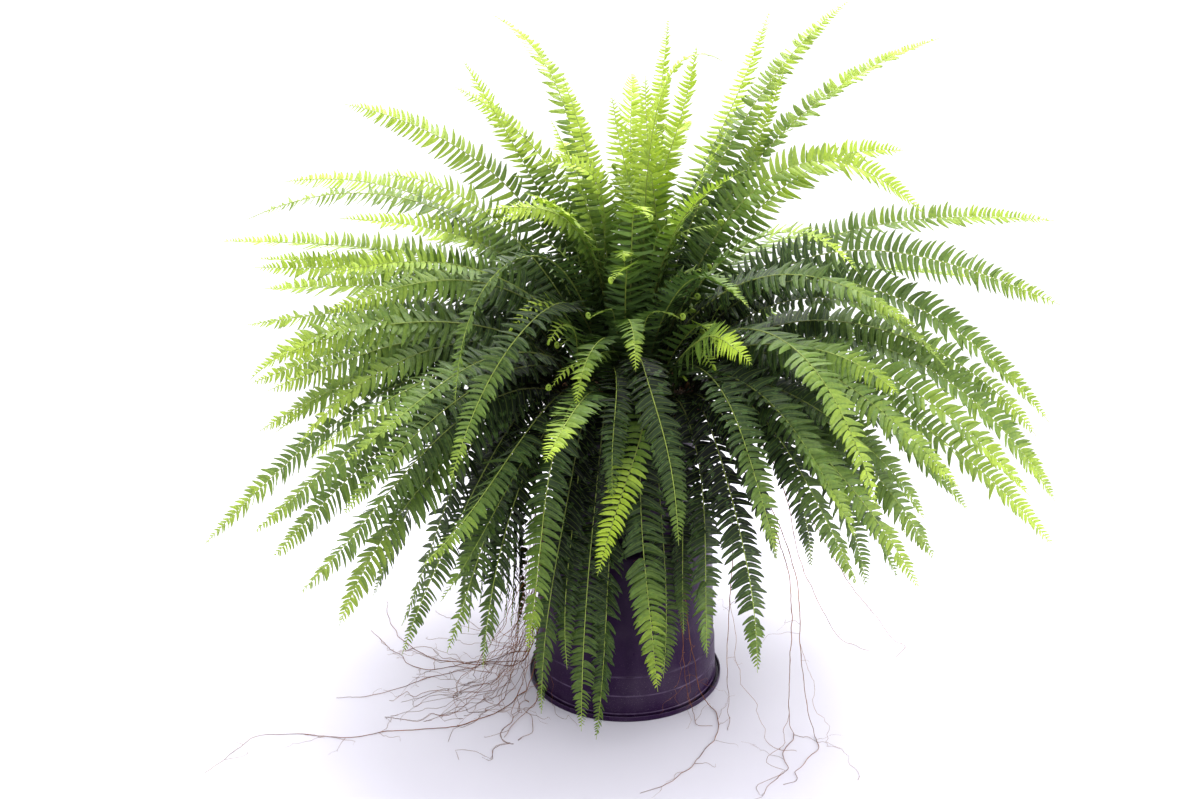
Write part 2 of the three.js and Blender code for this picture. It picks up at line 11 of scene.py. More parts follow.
import bpy
import numpy as np
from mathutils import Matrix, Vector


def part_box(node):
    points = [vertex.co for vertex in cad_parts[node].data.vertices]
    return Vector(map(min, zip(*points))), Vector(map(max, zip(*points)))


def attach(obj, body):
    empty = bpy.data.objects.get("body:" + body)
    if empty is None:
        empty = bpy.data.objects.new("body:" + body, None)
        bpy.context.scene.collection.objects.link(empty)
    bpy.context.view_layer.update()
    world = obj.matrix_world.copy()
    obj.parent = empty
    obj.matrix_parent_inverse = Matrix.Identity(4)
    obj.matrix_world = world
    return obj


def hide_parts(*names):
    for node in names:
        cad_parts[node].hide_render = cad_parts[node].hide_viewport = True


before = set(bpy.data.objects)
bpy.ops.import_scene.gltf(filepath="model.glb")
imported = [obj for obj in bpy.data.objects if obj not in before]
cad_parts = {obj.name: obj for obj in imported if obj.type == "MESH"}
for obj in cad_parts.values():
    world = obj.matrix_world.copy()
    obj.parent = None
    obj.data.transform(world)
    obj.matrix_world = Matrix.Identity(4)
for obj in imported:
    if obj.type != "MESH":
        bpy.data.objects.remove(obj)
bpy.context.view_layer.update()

Colour = tuple[float, float, float]
Place = tuple[float, float, float]
Socket = bpy.types.NodeSocket

MM = 0.001
GOLDEN = 0.618034
LOG = logging.getLogger("fern")

# Levels and places shared with the solids, in millimetres
STAND_HEIGHT = 270.0
POT_BOTTOM = 270.3
POT_HEIGHT = 214.0
POT_RIM = 125.0
SOIL_TOP = 473.3
ROOT_HEIGHT = 477.3
FOOT_RADIUS = 110.0


class Slot(str, Enum):
    """The record's material slots."""

    CONTAINER = "container_plastic"
    MIX = "potting_mix"
    FROND = "frond_green"
    RUNNER = "runner_brown"


def pot_axis() -> np.ndarray:
    """Where the containers' axis meets the floor, in metres: the middle of the lower one's box."""
    low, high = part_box("stand_pot")
    return np.array([(low.x + high.x) / 2, (low.y + high.y) / 2, 0.0])


AXIS = pot_axis()


# Vectors and curves


def unit(vectors: np.ndarray) -> np.ndarray:
    """Vectors scaled to length 1 along the last axis; those of length 0 stay so."""
    return vectors / np.maximum(np.linalg.norm(vectors, axis=-1, keepdims=True), 1e-12)


def compass(azimuth: np.ndarray | float) -> np.ndarray:
    """Level unit vectors: azimuth 0 points to the front (-Y), 90 to the right (+X)."""
    turn = np.radians(azimuth)
    return np.stack([np.sin(turn), -np.cos(turn), np.zeros_like(turn)], axis=-1)


def polar(places: np.ndarray) -> np.ndarray:
    """Points from rows of azimuth, radius and height in millimetres, in metres round the pots' axis."""
    places = np.atleast_2d(np.asarray(places, float))
    points = compass(places[:, 0]) * places[:, 1:2]
    points[:, 2] = places[:, 2]
    return points * MM


def smooth(value: np.ndarray, low: float, high: float) -> np.ndarray:
    """0 below low, 1 above high, and a smooth step 3 x^2 - 2 x^3 between them."""
    x = np.clip((value - low) / (high - low), 0, 1)
    return x * x * (3 - 2 * x)


def waves(points: np.ndarray, scale: float, seed: int) -> np.ndarray:
    """A smooth random field between about -1 and 1.

    It is the mean of eight sines of the points' distances along random directions, each with a
    random phase and a wavelength near the scale.

    Args:
        points: where to read it, in metres, with the coordinates last.
        scale: its typical wavelength in metres.
        seed: which field it is.

    Returns:
        One number for each point.
    """
    rng = np.random.default_rng(seed)
    turns = unit(rng.normal(size=(8, 3))) * (2 * np.pi / scale) * rng.uniform(0.6, 1.6, (8, 1))
    phase = rng.uniform(0, 2 * np.pi, 8)
    return np.sin(points @ turns.T + phase).mean(axis=-1) * 2


def threaded(points: np.ndarray, steps: int) -> np.ndarray:
    """A smooth curve through points: on each stretch the cubic that has their slopes at its ends.

    Args:
        points: the points it passes, one a row.
        steps: how many steps each stretch gets.

    Returns:
        The curve's points, the given ones among them.
    """
    gaps = np.linalg.norm(np.diff(points, axis=0), axis=1)
    along = np.concatenate([[0], np.cumsum(gaps)])
    slope = np.gradient(points, along, axis=0)
    share = np.linspace(0, 1, steps, endpoint=False)[None, :, None]
    a, b = points[:-1, None], points[1:, None]
    lead = slope[:-1, None] * gaps[:, None, None]
    trail = slope[1:, None] * gaps[:, None, None]
    cubic = (
        (2 * share**3 - 3 * share**2 + 1) * a
        + (share**3 - 2 * share**2 + share) * lead
        + (3 * share**2 - 2 * share**3) * b
        + (share**3 - share**2) * trail
    )
    return np.vstack([cubic.reshape(-1, 3), points[-1:]])


def travelled(points: np.ndarray) -> np.ndarray:
    """The way along a line to each of its points."""
    steps = np.linalg.norm(np.diff(points, axis=0), axis=1)
    return np.concatenate([[0], np.cumsum(steps)])


def between(rows: np.ndarray, places: np.ndarray, at: np.ndarray) -> np.ndarray:
    """Rows read between their own places, at other places."""
    return np.stack([np.interp(at, places, column) for column in rows.T], axis=-1)


def evenly(points: np.ndarray, count: int) -> np.ndarray:
    """The same curve with so many points, at even distances along it."""
    along = travelled(points)
    return between(points, along, np.linspace(0, along[-1], count))


# Meshes


def placed(name: str, data: bpy.types.ID) -> bpy.types.Object:
    """A new object in the scene."""
    made = bpy.data.objects.new(name, data)
    bpy.context.scene.collection.objects.link(made)
    return made


def repeated(pattern: np.ndarray, starts: np.ndarray) -> np.ndarray:
    """A pattern's faces once for each start, which is added to the numbers of their corners."""
    return np.where(pattern[None] >= 0, pattern[None] + starts[:, None, None], -1).reshape(-1, 4)


def turned_over(faces: np.ndarray, corners: np.ndarray) -> np.ndarray:
    """Rows of what the faces' corners hold, the other way round; the faces say which are triangles."""
    order = np.where(faces[:, 3:] >= 0, [3, 2, 1, 0], [2, 1, 0, 3])
    return corners[np.arange(len(faces))[:, None], order]


def lathe_faces(rows: int, sides: int) -> np.ndarray:
    """The faces of a turned form or a tube with closed ends.

    Args:
        rows: how many rings it has, one after the other.
        sides: how many points a ring has; the two points after the rings are the ends' middles.

    Returns:
        The faces, facing outward.
    """
    row, column = np.meshgrid(np.arange(rows - 1), np.arange(sides), indexing="ij")
    here, beside = row * sides + column, row * sides + (column + 1) % sides
    walls = np.stack([here, beside, beside + sides, here + sides], axis=-1).reshape(-1, 4)
    k = np.arange(sides)
    after, last = (k + 1) % sides, (rows - 1) * sides
    none = np.full(sides, -1)
    low = np.stack([np.full(sides, rows * sides), after, k, none], axis=1)
    high = np.stack([np.full(sides, rows * sides + 1), last + k, last + after, none], axis=1)
    return np.vstack([walls, low, high])


@dataclass
class Surface:
    """Part of a mesh as arrays.

    A face is a row of four corners, the last of which is -1 on a triangle. Each face corner has a
    place, its UV. Each corner has a tone, which its material reads, and a margin flag: an edge
    between two flagged corners is sharp.
    """

    points: np.ndarray
    faces: np.ndarray
    places: np.ndarray
    slots: np.ndarray
    tone: np.ndarray
    margin: np.ndarray

    @staticmethod
    def of(
        points: np.ndarray,
        faces: np.ndarray,
        places: np.ndarray | None = None,
        slot: int = 0,
        tone: np.ndarray | float = 0.0,
        margin: np.ndarray | None = None,
    ) -> "Surface":
        """A surface with plain values where none are given.

        Args:
            points: the corners' places, in metres round the pots' axis.
            faces: the faces, as rows of four corners.
            places: the UV of each face corner.
            slot: the number of the material.
            tone: a tone for each corner, or one for all.
            margin: the corners on a sharp edge.

        Returns:
            The surface.
        """
        count = len(points)
        return Surface(
            points,
            faces,
            np.zeros((*faces.shape, 2)) if places is None else places,
            np.full(len(faces), slot),
            np.broadcast_to(np.asarray(tone, float), (count,)).copy(),
            np.zeros(count, bool) if margin is None else margin,
        )

    @staticmethod
    def joined(parts: list["Surface"]) -> "Surface":
        """All parts as one surface."""
        starts = np.cumsum([[0]] + [[len(part.points)] for part in parts], axis=0)
        return Surface(
            np.vstack([part.points for part in parts]),
            np.vstack([repeated(part.faces, start) for part, start in zip(parts, starts)]),
            np.vstack([part.places for part in parts]),
            np.concatenate([part.slots for part in parts]),
            np.concatenate([part.tone for part in parts]),
            np.concatenate([part.margin for part in parts]),
        )

    def piece(
        self, name: str, materials: list[bpy.types.Material], slot: Slot, nodes: list[str]
    ) -> bpy.types.Object:
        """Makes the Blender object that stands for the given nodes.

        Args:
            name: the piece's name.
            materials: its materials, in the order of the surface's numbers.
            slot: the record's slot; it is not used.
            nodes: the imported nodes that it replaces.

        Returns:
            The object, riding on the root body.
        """
        mesh = bpy.data.meshes.new(name)
        used = self.faces >= 0
        counts = used.sum(axis=1)
        mesh.vertices.add(len(self.points))
        mesh.vertices.foreach_set("co", (self.points + AXIS).astype(np.float32).ravel())
        mesh.loops.add(int(counts.sum()))
        mesh.loops.foreach_set("vertex_index", self.faces[used].astype(np.int32))
        mesh.polygons.add(len(counts))
        mesh.polygons.foreach_set("loop_start", (np.cumsum(counts) - counts).astype(np.int32))
        mesh.polygons.foreach_set("material_index", self.slots.astype(np.int32))
        mesh.polygons.foreach_set("use_smooth", np.ones(len(counts), bool))
        mesh.update(calc_edges=True)
        layer = mesh.uv_layers.new(name="Blade")
        layer.data.foreach_set("uv", self.places[used].astype(np.float32).ravel())
        tone = mesh.attributes.new("tone", "FLOAT", "POINT")
        tone.data.foreach_set("value", self.tone.astype(np.float32))
        ends = np.empty(2 * len(mesh.edges), np.int32)
        mesh.edges.foreach_get("vertices", ends)
        sharp = mesh.attributes.new("sharp_edge", "BOOLEAN", "EDGE")
        sharp.data.foreach_set("value", self.margin[ends.reshape(-1, 2)].all(axis=1))
        for material in materials:
            mesh.materials.append(material)
        made = placed(name, mesh)
        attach(made, "root")
        if nodes:
            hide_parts(*nodes)
        triangles = int((counts - 2).sum())
        LOG.info("%s: %d triangles, stands for %s", name, triangles, ", ".join(nodes) or "itself")
        return made


def tubes(
    paths: np.ndarray,
    radii: np.ndarray,
    sides: int,
    guide: np.ndarray,
    slot: int = 0,
    tone: np.ndarray | float = 0.0,
) -> Surface:
    """Closed round tubes along several paths at once.

    At each point of a path a ring stands across it: the ring's points are the middle plus the
    radius times the cosine of their angle along one direction across the path, and the sine along
    the other. Each end closes on a point in its middle.

    Args:
        paths: the tubes' middles, as (tube, point, 3).
        radii: the radius at each point, as (tube, point).
        sides: how many sides a ring has.
        guide: a direction for each tube that its path never follows, as (tube, 3) or (tube, point, 3).
        slot: the number of the material.
        tone: a tone for each point of each path, or one for all.

    Returns:
        The tubes in one surface.
    """
    count, length, _ = paths.shape
    tangent = unit(np.gradient(paths, axis=1))
    guide = guide[:, None] if guide.ndim == 2 else guide
    first = unit(np.cross(tangent, guide))
    second = np.cross(tangent, first)
    angle = np.arange(sides) * 2 * np.pi / sides
    ring = (
        np.cos(angle)[:, None] * first[:, :, None] + np.sin(angle)[:, None] * second[:, :, None]
    ) * radii[:, :, None, None]
    points = (paths[:, :, None] + ring).reshape(count, -1, 3)
    points = np.concatenate([points, paths[:, :1], paths[:, -1:]], axis=1)
    faces = repeated(lathe_faces(length, sides), np.arange(count) * (length * sides + 2))
    tones = np.broadcast_to(np.asarray(tone, float), (count, length))
    spread = np.concatenate([np.repeat(tones, sides, axis=1), tones[:, :1], tones[:, -1:]], axis=1)
    return Surface.of(points.reshape(-1, 3), faces, slot=slot, tone=spread.ravel())


# Fronds


@dataclass(frozen=True)
class Frond:
    """One frond, with the same numbers as its solid, in millimetres and degrees.

    Its tip stands at an azimuth, a reach from the pots' axis and a height. The rib leaves the crown
    at the angle rise and comes to the tip at the angle hang. full is the length of the arch's
    handles, bow a sideways bend, half the length of the longest leaflets and roll a turn about the
    rib. tone is its colour from 0, deep green, to 1, lime, with painted light and shade in it:
    fronds in the light are set lighter and shaded ones darker; None lets its place decide.
    """

    azimuth: float
    reach: float
    height: float
    rise: float
    hang: float
    full: float = 0.4
    bow: float = 0.0
    half: float = 41.0
    roll: float = 0.0
    tone: float | None = None


@dataclass(frozen=True)
class Clump:
    """A crown in the soil, its distance from the middle and azimuth, with its fronds."""

    radius: float
    azimuth: float
    fronds: tuple[Frond, ...]


# The set tones carry painted light and shade: fronds high up and on the left, which stand in the light,
# are set lighter, and low inner ones darker.
CLUMPS = [
    Clump(95, -76, (
        Frond(-76, 635, 300, 50, -45, roll=24),
        Frond(-75, 395, 190, 60, -70, full=0.45, roll=12),
        Frond(-84, 545, 440, 54, -30, roll=30, tone=0.60),
        Frond(-81, 526, 514, 66, -22, full=0.43, roll=30, tone=0.60),
    )),
    Clump(95, -60, (
        Frond(-69, 545, 300, 50, -42, roll=20),
        Frond(-56, 392, 205, 54, -64, full=0.5),
        Frond(-64, 578, 370, 58, -36, roll=20),
    )),
    Clump(95, -44, (
        Frond(-52, 506, 257, 50, -58, half=43, roll=12),
        Frond(-50, 418, 186, 58, -63, half=33),
        Frond(-54, 553, 314, 51, -40, roll=12),
    )),
    Clump(95, -28, (
        Frond(-39, 400, 215, 58, -64, half=41),
        Frond(-33, 372, 190, 52, -80, full=0.45, half=39),
        Frond(-35, 440, 322, 50, -35, full=0.36, half=40, roll=-8),
    )),
    Clump(95, -12, (
        Frond(-27, 276, 75, 62, -82, full=0.5, bow=8, half=36),
        Frond(-20, 255, 145, 62, -86, full=0.5, bow=-8, half=36),
        Frond(-15, 260, 48, 64, -84, full=0.5, bow=8, half=38),
    )),
    Clump(95, 5, (
        Frond(-11, 240, 24, 65, -88, full=0.52, bow=18, half=32),
        Frond(10, 250, 112, 60, -80, full=0.5, bow=-13, half=38, tone=0.52),
        Frond(15, 205, 105, 64, -88, full=0.52, half=38),
    )),
    Clump(95, 22, (
        Frond(23, 210, 176, 52, -88, full=0.52, half=27),
        Frond(27, 252, 156, 60, -82, full=0.52, bow=10, half=38),
    )),
    Clump(95, 38, (
        Frond(31, 350, 176, 60, -68, full=0.45, bow=10, half=38),
        Frond(42, 312, 315, 64, -78, full=0.5, half=36),
    )),
    Clump(95, 54, (
        Frond(50, 512, 322, 54, -50, roll=-12),
        Frond(56, 406, 272, 57, -80, full=0.48, roll=-10),
        Frond(49, 342, 300, 58, -84, full=0.56, half=36),
        Frond(45, 440, 318, 74, -58, full=0.44, half=38, roll=-10),
        Frond(58, 480, 390, 54, -56, roll=-18),
    )),
    Clump(95, 71, (
        Frond(69, 640, 336, 52, -44, half=42, roll=-26),
        Frond(66, 480, 300, 56, -58, roll=-20),
        Frond(73, 420, 230, 58, -68, full=0.45, roll=-15),
        Frond(68, 601, 412, 50, -46, full=0.44, half=44, roll=-30),
    )),
    Clump(95, 90, (
        Frond(76, 632, 372, 52, -60, full=0.45, half=39, roll=-22),
        Frond(86, 520, 300, 54, -52, roll=-28),
        Frond(90, 434, 240, 48, -76, full=0.48, roll=-15),
        Frond(80, 600, 452, 64, -52, full=0.44, half=44, roll=-34),
    )),
    Clump(65, -88, (
        Frond(-85, 552, 512, 56, -24, roll=32, tone=0.56),
        Frond(-94, 570, 572, 56, -10, roll=34, tone=0.62),
        Frond(-100, 560, 610, 60, -8, roll=36, tone=0.67),
        Frond(-105, 592, 640, 62, -2, roll=24, tone=0.71),
        Frond(-88, 538, 680, 64, 0, full=0.5, roll=34, tone=0.70),
    )),
    Clump(65, -64, (
        Frond(-74, 492, 450, 64, -50, full=0.45, roll=22),
        Frond(-60, 505, 480, 60, -34, roll=18),
        Frond(-72, 520, 590, 62, -20, roll=28, tone=0.62),
        Frond(-74, 550, 558, 56, -42, full=0.38, roll=30, tone=0.64),
    )),
    Clump(65, -40, (
        Frond(-35, 478, 390, 68, -14, full=0.36, half=44, roll=-12, tone=0.48),
        Frond(-50, 500, 430, 60, -40, full=0.45, roll=12),
        Frond(-46, 520, 520, 62, -28, full=0.45, roll=15, tone=0.48),
    )),
    Clump(65, -16, (
        Frond(-24, 344, 218, 64, -86, full=0.58, half=38, tone=0.50),
        Frond(-16, 400, 535, 44, -18, half=36, tone=0.68),
        Frond(-5, 260, 424, 75, -88, full=0.8, half=30),
    )),
    Clump(65, 8, (
        Frond(13, 298, 370, 76, -80, full=0.85, bow=-16, half=36, tone=0.36),
        Frond(-8, 314, 334, 70, -62, bow=36, full=0.56, half=38, tone=0.92),
    )),
    Clump(65, 32, (
        Frond(25, 365, 648, 52, -20, half=42, roll=-52, tone=0.80),
        Frond(30, 391, 380, 66, -72, full=0.6),
        Frond(42, 450, 400, 60, -60, full=0.48),
    )),
    Clump(65, 56, (
        Frond(42, 480, 458, 66, -70, full=0.6, tone=0.58),
        Frond(52, 450, 585, 58, -26, roll=-24, tone=0.52),
        Frond(60, 520, 440, 60, -46, full=0.45, roll=-15),
    )),
    Clump(65, 80, (
        Frond(79, 614, 480, 72, -50, full=0.55, half=44, roll=-38, tone=0.50),
        Frond(84, 619, 639, 66, -23, full=0.52, half=46, roll=-42, tone=0.52),
        Frond(74, 470, 560, 64, -50, full=0.5, half=36, roll=-20),
    )),
    Clump(36, -100, (
        Frond(-107, 665, 657, 66, -2, roll=10, tone=0.78),
        Frond(-98, 570, 724, 70, -26, full=0.45, roll=20, tone=0.60),
        Frond(-84, 410, 760, 70, 4, full=0.46, half=44, roll=38, tone=0.75),
        Frond(-112, 574, 746, 64, -13, full=0.42, roll=25, tone=0.75),
    )),
    Clump(36, -55, (
        Frond(-40, 361, 571, 80, -76, full=0.85, half=32, tone=0.36),
        Frond(-33, 430, 495, 76, -50, full=0.7, tone=0.42),
        Frond(-68, 440, 715, 70, -10, full=0.42, roll=28, tone=0.66),
        Frond(-68, 450, 660, 70, -22, full=0.45, roll=25, tone=0.62),
        Frond(-92, 352, 809, 74, 0, full=0.36, half=44, roll=40, tone=0.70),
    )),
    Clump(36, -10, (
        Frond(-16, 260, 560, 74, -46, full=0.6, half=32, tone=0.70),
        Frond(2, 230, 600, 75, -50, full=0.6, half=30, tone=0.72),
    )),
    Clump(36, 35, (
        Frond(31, 300, 700, 72, -20, full=0.5, half=34, tone=0.46),
        Frond(60, 356, 721, 78, -50, full=0.45, roll=-15, tone=0.68),
        Frond(66, 430, 643, 70, -34, full=0.5, roll=-20, tone=0.48),
    )),
    Clump(36, 80, (
        Frond(95, 436, 742, 76, -44, full=0.6, roll=-30, tone=0.74),
        Frond(99, 650, 716, 68, -8, roll=-15, tone=0.64),
        Frond(104, 423, 822, 70, -10, full=0.4, half=46, roll=-40, tone=0.76),
    )),
    Clump(36, 125, (
        Frond(116, 532, 966, 74, 10, half=32, roll=-15, tone=0.70),
        Frond(130, 450, 1014, 76, 22, full=0.38, half=34, roll=-20, tone=0.66),
        Frond(120, 267, 938, 66, 70, full=0.36, half=36, roll=-25, tone=0.66),
    )),
    Clump(36, 170, (
        Frond(147, 420, 990, 66, 50, full=0.38, tone=0.86),
        Frond(168, 320, 985, 76, 50, full=0.36, half=32, tone=0.82),
        Frond(165, 420, 800, 76, -10, full=0.45, tone=0.80),
        Frond(178, 300, 900, 80, 10, half=36, tone=0.86),
    )),
    Clump(36, 215, (
        Frond(195, 420, 760, 74, -16, full=0.45, tone=0.80),
        Frond(220, 322, 1000, 80, 14, tone=0.74),
        Frond(240, 295, 908, 80, 14, half=38, roll=14, tone=0.80),
        Frond(246, 262, 955, 82, 55, full=0.3, roll=30, tone=0.72),
        Frond(255, 430, 890, 76, 8, roll=45, tone=0.70),
    )),
    Clump(13, 180, (
        Frond(-170, 132, 900, 84, 60, full=0.42, bow=-24, half=48, tone=0.90),
        Frond(146, 185, 970, 79, 60, half=39, tone=0.88),
        Frond(172, 95, 820, 84, 70, full=0.38, half=44, tone=0.90),
    )),
    Clump(13, 60, (
        Frond(78, 150, 900, 81, 60, full=0.38, half=39, tone=0.86),
        Frond(62, 180, 840, 78, 30, full=0.42, half=42, tone=0.88),
        Frond(110, 141, 965, 80, -30, full=0.36, half=26, tone=0.86),
        Frond(165, 100, 935, 82, 62, full=0.42, bow=-27, half=44, tone=0.90),
    )),
    Clump(13, -60, (
        Frond(-94, 110, 890, 82, 62, full=0.38, half=44, tone=0.86),
        Frond(-58, 170, 810, 78, 20, full=0.42, half=42, tone=0.86),
        Frond(-90, 132, 829, 66, -10, full=0.48, roll=20, tone=0.86),
        Frond(-80, 205, 745, 74, -25, full=0.55, roll=30, tone=0.82),
        Frond(-140, 150, 935, 80, 50, full=0.38, half=33, tone=0.88),
        Frond(-62, 229, 788, 80, -5, full=0.5, roll=25, tone=0.78),
    )),
]


@dataclass(frozen=True)
class FarRing:
    """A ring of crowns on the far side: all have the same fronds, turned to their places.

    The first crown's azimuth and the step to the next are in degrees.
    """

    radius: float
    first: float
    step: float
    count: int
    fronds: tuple[Frond, ...]


FAR_RINGS = [
    FarRing(95, 110, 24.7, 7, (
        Frond(-6, 540, 300, 52, -48),
        Frond(3, 405, 200, 60, -68, full=0.45),
        Frond(10, 550, 395, 51, -38),
    )),
    FarRing(65, 105, 26, 6, (
        Frond(-5, 555, 485, 60, -34),
        Frond(9, 595, 592, 60, -16),
    )),
]
WANDER = (4.0, 50.0, 40.0)  # the spans in which a far frond's azimuth, reach and height wander
# Leaflets near the heart are darkened with painted shade.
HEART = np.array([0, 0, ROOT_HEIGHT + 20]) * MM  # the shaded middle of the foliage


def far_clumps() -> list[Clump]:
    """The crowns of the far side, ring by ring.

    Returns:
        The crowns. The number of a frond times the golden ratio, and times its square and 5, less
        their whole parts and a half, say how far it wanders.
    """
    made, number = [], 0
    for ring in FAR_RINGS:
        for index in range(ring.count):
            middle = ring.first + ring.step * index
            fronds = []
            for plain in ring.fronds:
                number += 1
                near = (number * GOLDEN) % 1 - 0.5
                far = (number * GOLDEN * GOLDEN * 5) % 1 - 0.5
                fronds.append(replace(
                    plain,
                    azimuth=middle + plain.azimuth + WANDER[0] * near,
                    reach=plain.reach + WANDER[1] * far,
                    height=plain.height + WANDER[2] * near,
                ))
            made.append(Clump(ring.radius, middle, tuple(fronds)))
    return made


class Rib:
    """A frond's rib: the cubic curve of its solid, read by the share of its length."""

    STEPS = 400
    SWAY = 7.0  # how far a rib sways off its curve to either side, in millimetres
    TWIST = 24.0  # how far its face turns by the tip, in degrees

    def __init__(self, clump: Clump, frond: Frond) -> None:
        """Works out the curve.

        Its ends are the crown and the tip. Its two middle points stand off them by the handle, at
        the angles at which the frond rises and ends, in the upright plane through both ends. The
        bow moves both by 4/3 of itself to the side, because 4 t (1 - t) is such a cubic. The rib
        then sways a little to the sides by two sines that grow towards the tip.

        Args:
            clump: the crown that it grows from.
            frond: the frond.
        """
        start = compass(clump.azimuth) * clump.radius + [0, 0, ROOT_HEIGHT]
        tip = compass(frond.azimuth) * frond.reach + [0, 0, frond.height]
        level = unit((tip - start) * [1, 1, 0])
        handle = frond.full * np.linalg.norm(tip - start)
        rise, hang = math.radians(frond.rise), math.radians(frond.hang)
        self.side = np.array([-level[1], level[0], 0])
        bow = self.side * frond.bow * 4 / 3
        leaving = start + handle * (level * math.cos(rise) + [0, 0, math.sin(rise)]) + bow
        arriving = tip - handle * (level * math.cos(hang) + [0, 0, math.sin(hang)]) + bow
        t = np.linspace(0, 1, self.STEPS)[:, None]
        own_seed = int(frond.reach * 7 + frond.height * 3 + 1000)
        rng = np.random.default_rng(own_seed)
        swing = rng.uniform(-self.SWAY, self.SWAY, 2)
        sway = swing[0] * np.sin(2 * np.pi * t) * t + swing[1] * np.sin(3 * np.pi * t) * t
        self.points = (
            (1 - t) ** 3 * start + 3 * t * (1 - t) ** 2 * leaving + 3 * t * t * (1 - t) * arriving
            + t**3 * tip + sway * self.side
        ) * MM
        self.slopes = unit(np.gradient(self.points, axis=0))
        self.reached = travelled(self.points)
        self.length = float(self.reached[-1])
        self.roll = math.radians(frond.roll)
        self.twist = math.radians(rng.uniform(-self.TWIST, self.TWIST))

    def at(self, share: np.ndarray) -> tuple[np.ndarray, np.ndarray, np.ndarray, np.ndarray]:
        """The rib's frame at shares of its length.

        Args:
            share: the shares, from 0 at the crown to 1 at the tip.

        Returns:
            The points, and the unit vectors along the rib, across it to its right, and up from it.
        """
        point = between(self.points, self.reached, share * self.length)
        along = unit(between(self.slopes, self.reached, share * self.length))
        over = unit(np.cross(-self.side, along))
        right = np.cross(along, over)
        roll = (self.roll + self.twist * share**2)[:, None]
        across = right * np.cos(roll) + over * np.sin(roll)
        return point, along, across, np.cross(across, along)


def leaflet_reach(share: np.ndarray, taper: float) -> np.ndarray:
    """A leaflet's length as a share of the frond's half width, by its place along the rib.

    It grows from 0.35 at a tenth of the rib to 1 at four tenths, by x (2 - x), and falls off
    towards the tip as (1 - share^taper)^0.75.

    Args:
        share: the place along the rib.
        taper: the power with which the frond narrows: the lower it is, the longer and thinner its tip.

    Returns:
        The lengths.
    """
    grown = np.clip((share - 0.1) / 0.3, 0, 1)
    return (0.35 + 0.65 * grown * (2 - grown)) * (1 - share**taper) ** 0.75


@dataclass(frozen=True)
class Blade:
    """How a leaflet is drawn: its stations along its own length, and its waves."""

    stations: tuple[float, ...]
    ripple: float


LARGE_BLADE = Blade((0.0, 0.05, 0.14, 0.34, 0.62, 0.82, 0.94), 0.05)
SMALL_BLADE = Blade((0.0, 0.09, 0.32, 0.60, 0.85), 0.04)


@dataclass(frozen=True)
class Habit:
    """How leaflets vary, with angles in degrees.

    The first six differ from frond to frond, between two values or, for the twist, about a mean
    with a spread. falcate and droop give a mean and a spread for each leaflet, and the rest are
    spreads.
    """

    lift: tuple[float, float] = (-16, 26)
    twist: tuple[float, float] = (12, 5)
    slim: tuple[float, float] = (0.88, 1.04)
    forward: tuple[float, float] = (-4, 6)
    blunt: tuple[float, float] = (1.9, 3.2)
    taper: tuple[float, float] = (2.3, 3.8)
    falcate: tuple[float, float] = (0.20, 0.04)
    droop: tuple[float, float] = (0.13, 0.06)
    place: float = 0.0012
    length: float = 0.035
    width: float = 0.05
    sweep: float = 3.0
    rise: float = 8
    turn: float = 11
    tone: float = 0.035


@dataclass
class Leaflets:
    """Leaflets as arrays, one row each, with angles in radians.

    Each starts at a point of the rib. along is the rib's direction there, out points away from it
    to the leaflet's side and up over its face; side is 1 on its right and -1 on its left. sweep is
    how far the leaflet leans forward, rise how far it stands up from the frond, turn how far it
    turns about itself, and falcate and droop how far it curves to the frond's tip and hangs, as
    shares of its length.
    """

    point: np.ndarray
    along: np.ndarray
    out: np.ndarray
    up: np.ndarray
    side: np.ndarray
    length: np.ndarray
    width: np.ndarray
    sweep: np.ndarray
    rise: np.ndarray
    turn: np.ndarray
    falcate: np.ndarray
    droop: np.ndarray

    def some(self, chosen: np.ndarray) -> "Leaflets":
        """Those that are chosen."""
        return Leaflets(*(getattr(self, each.name)[chosen] for each in fields(self)))


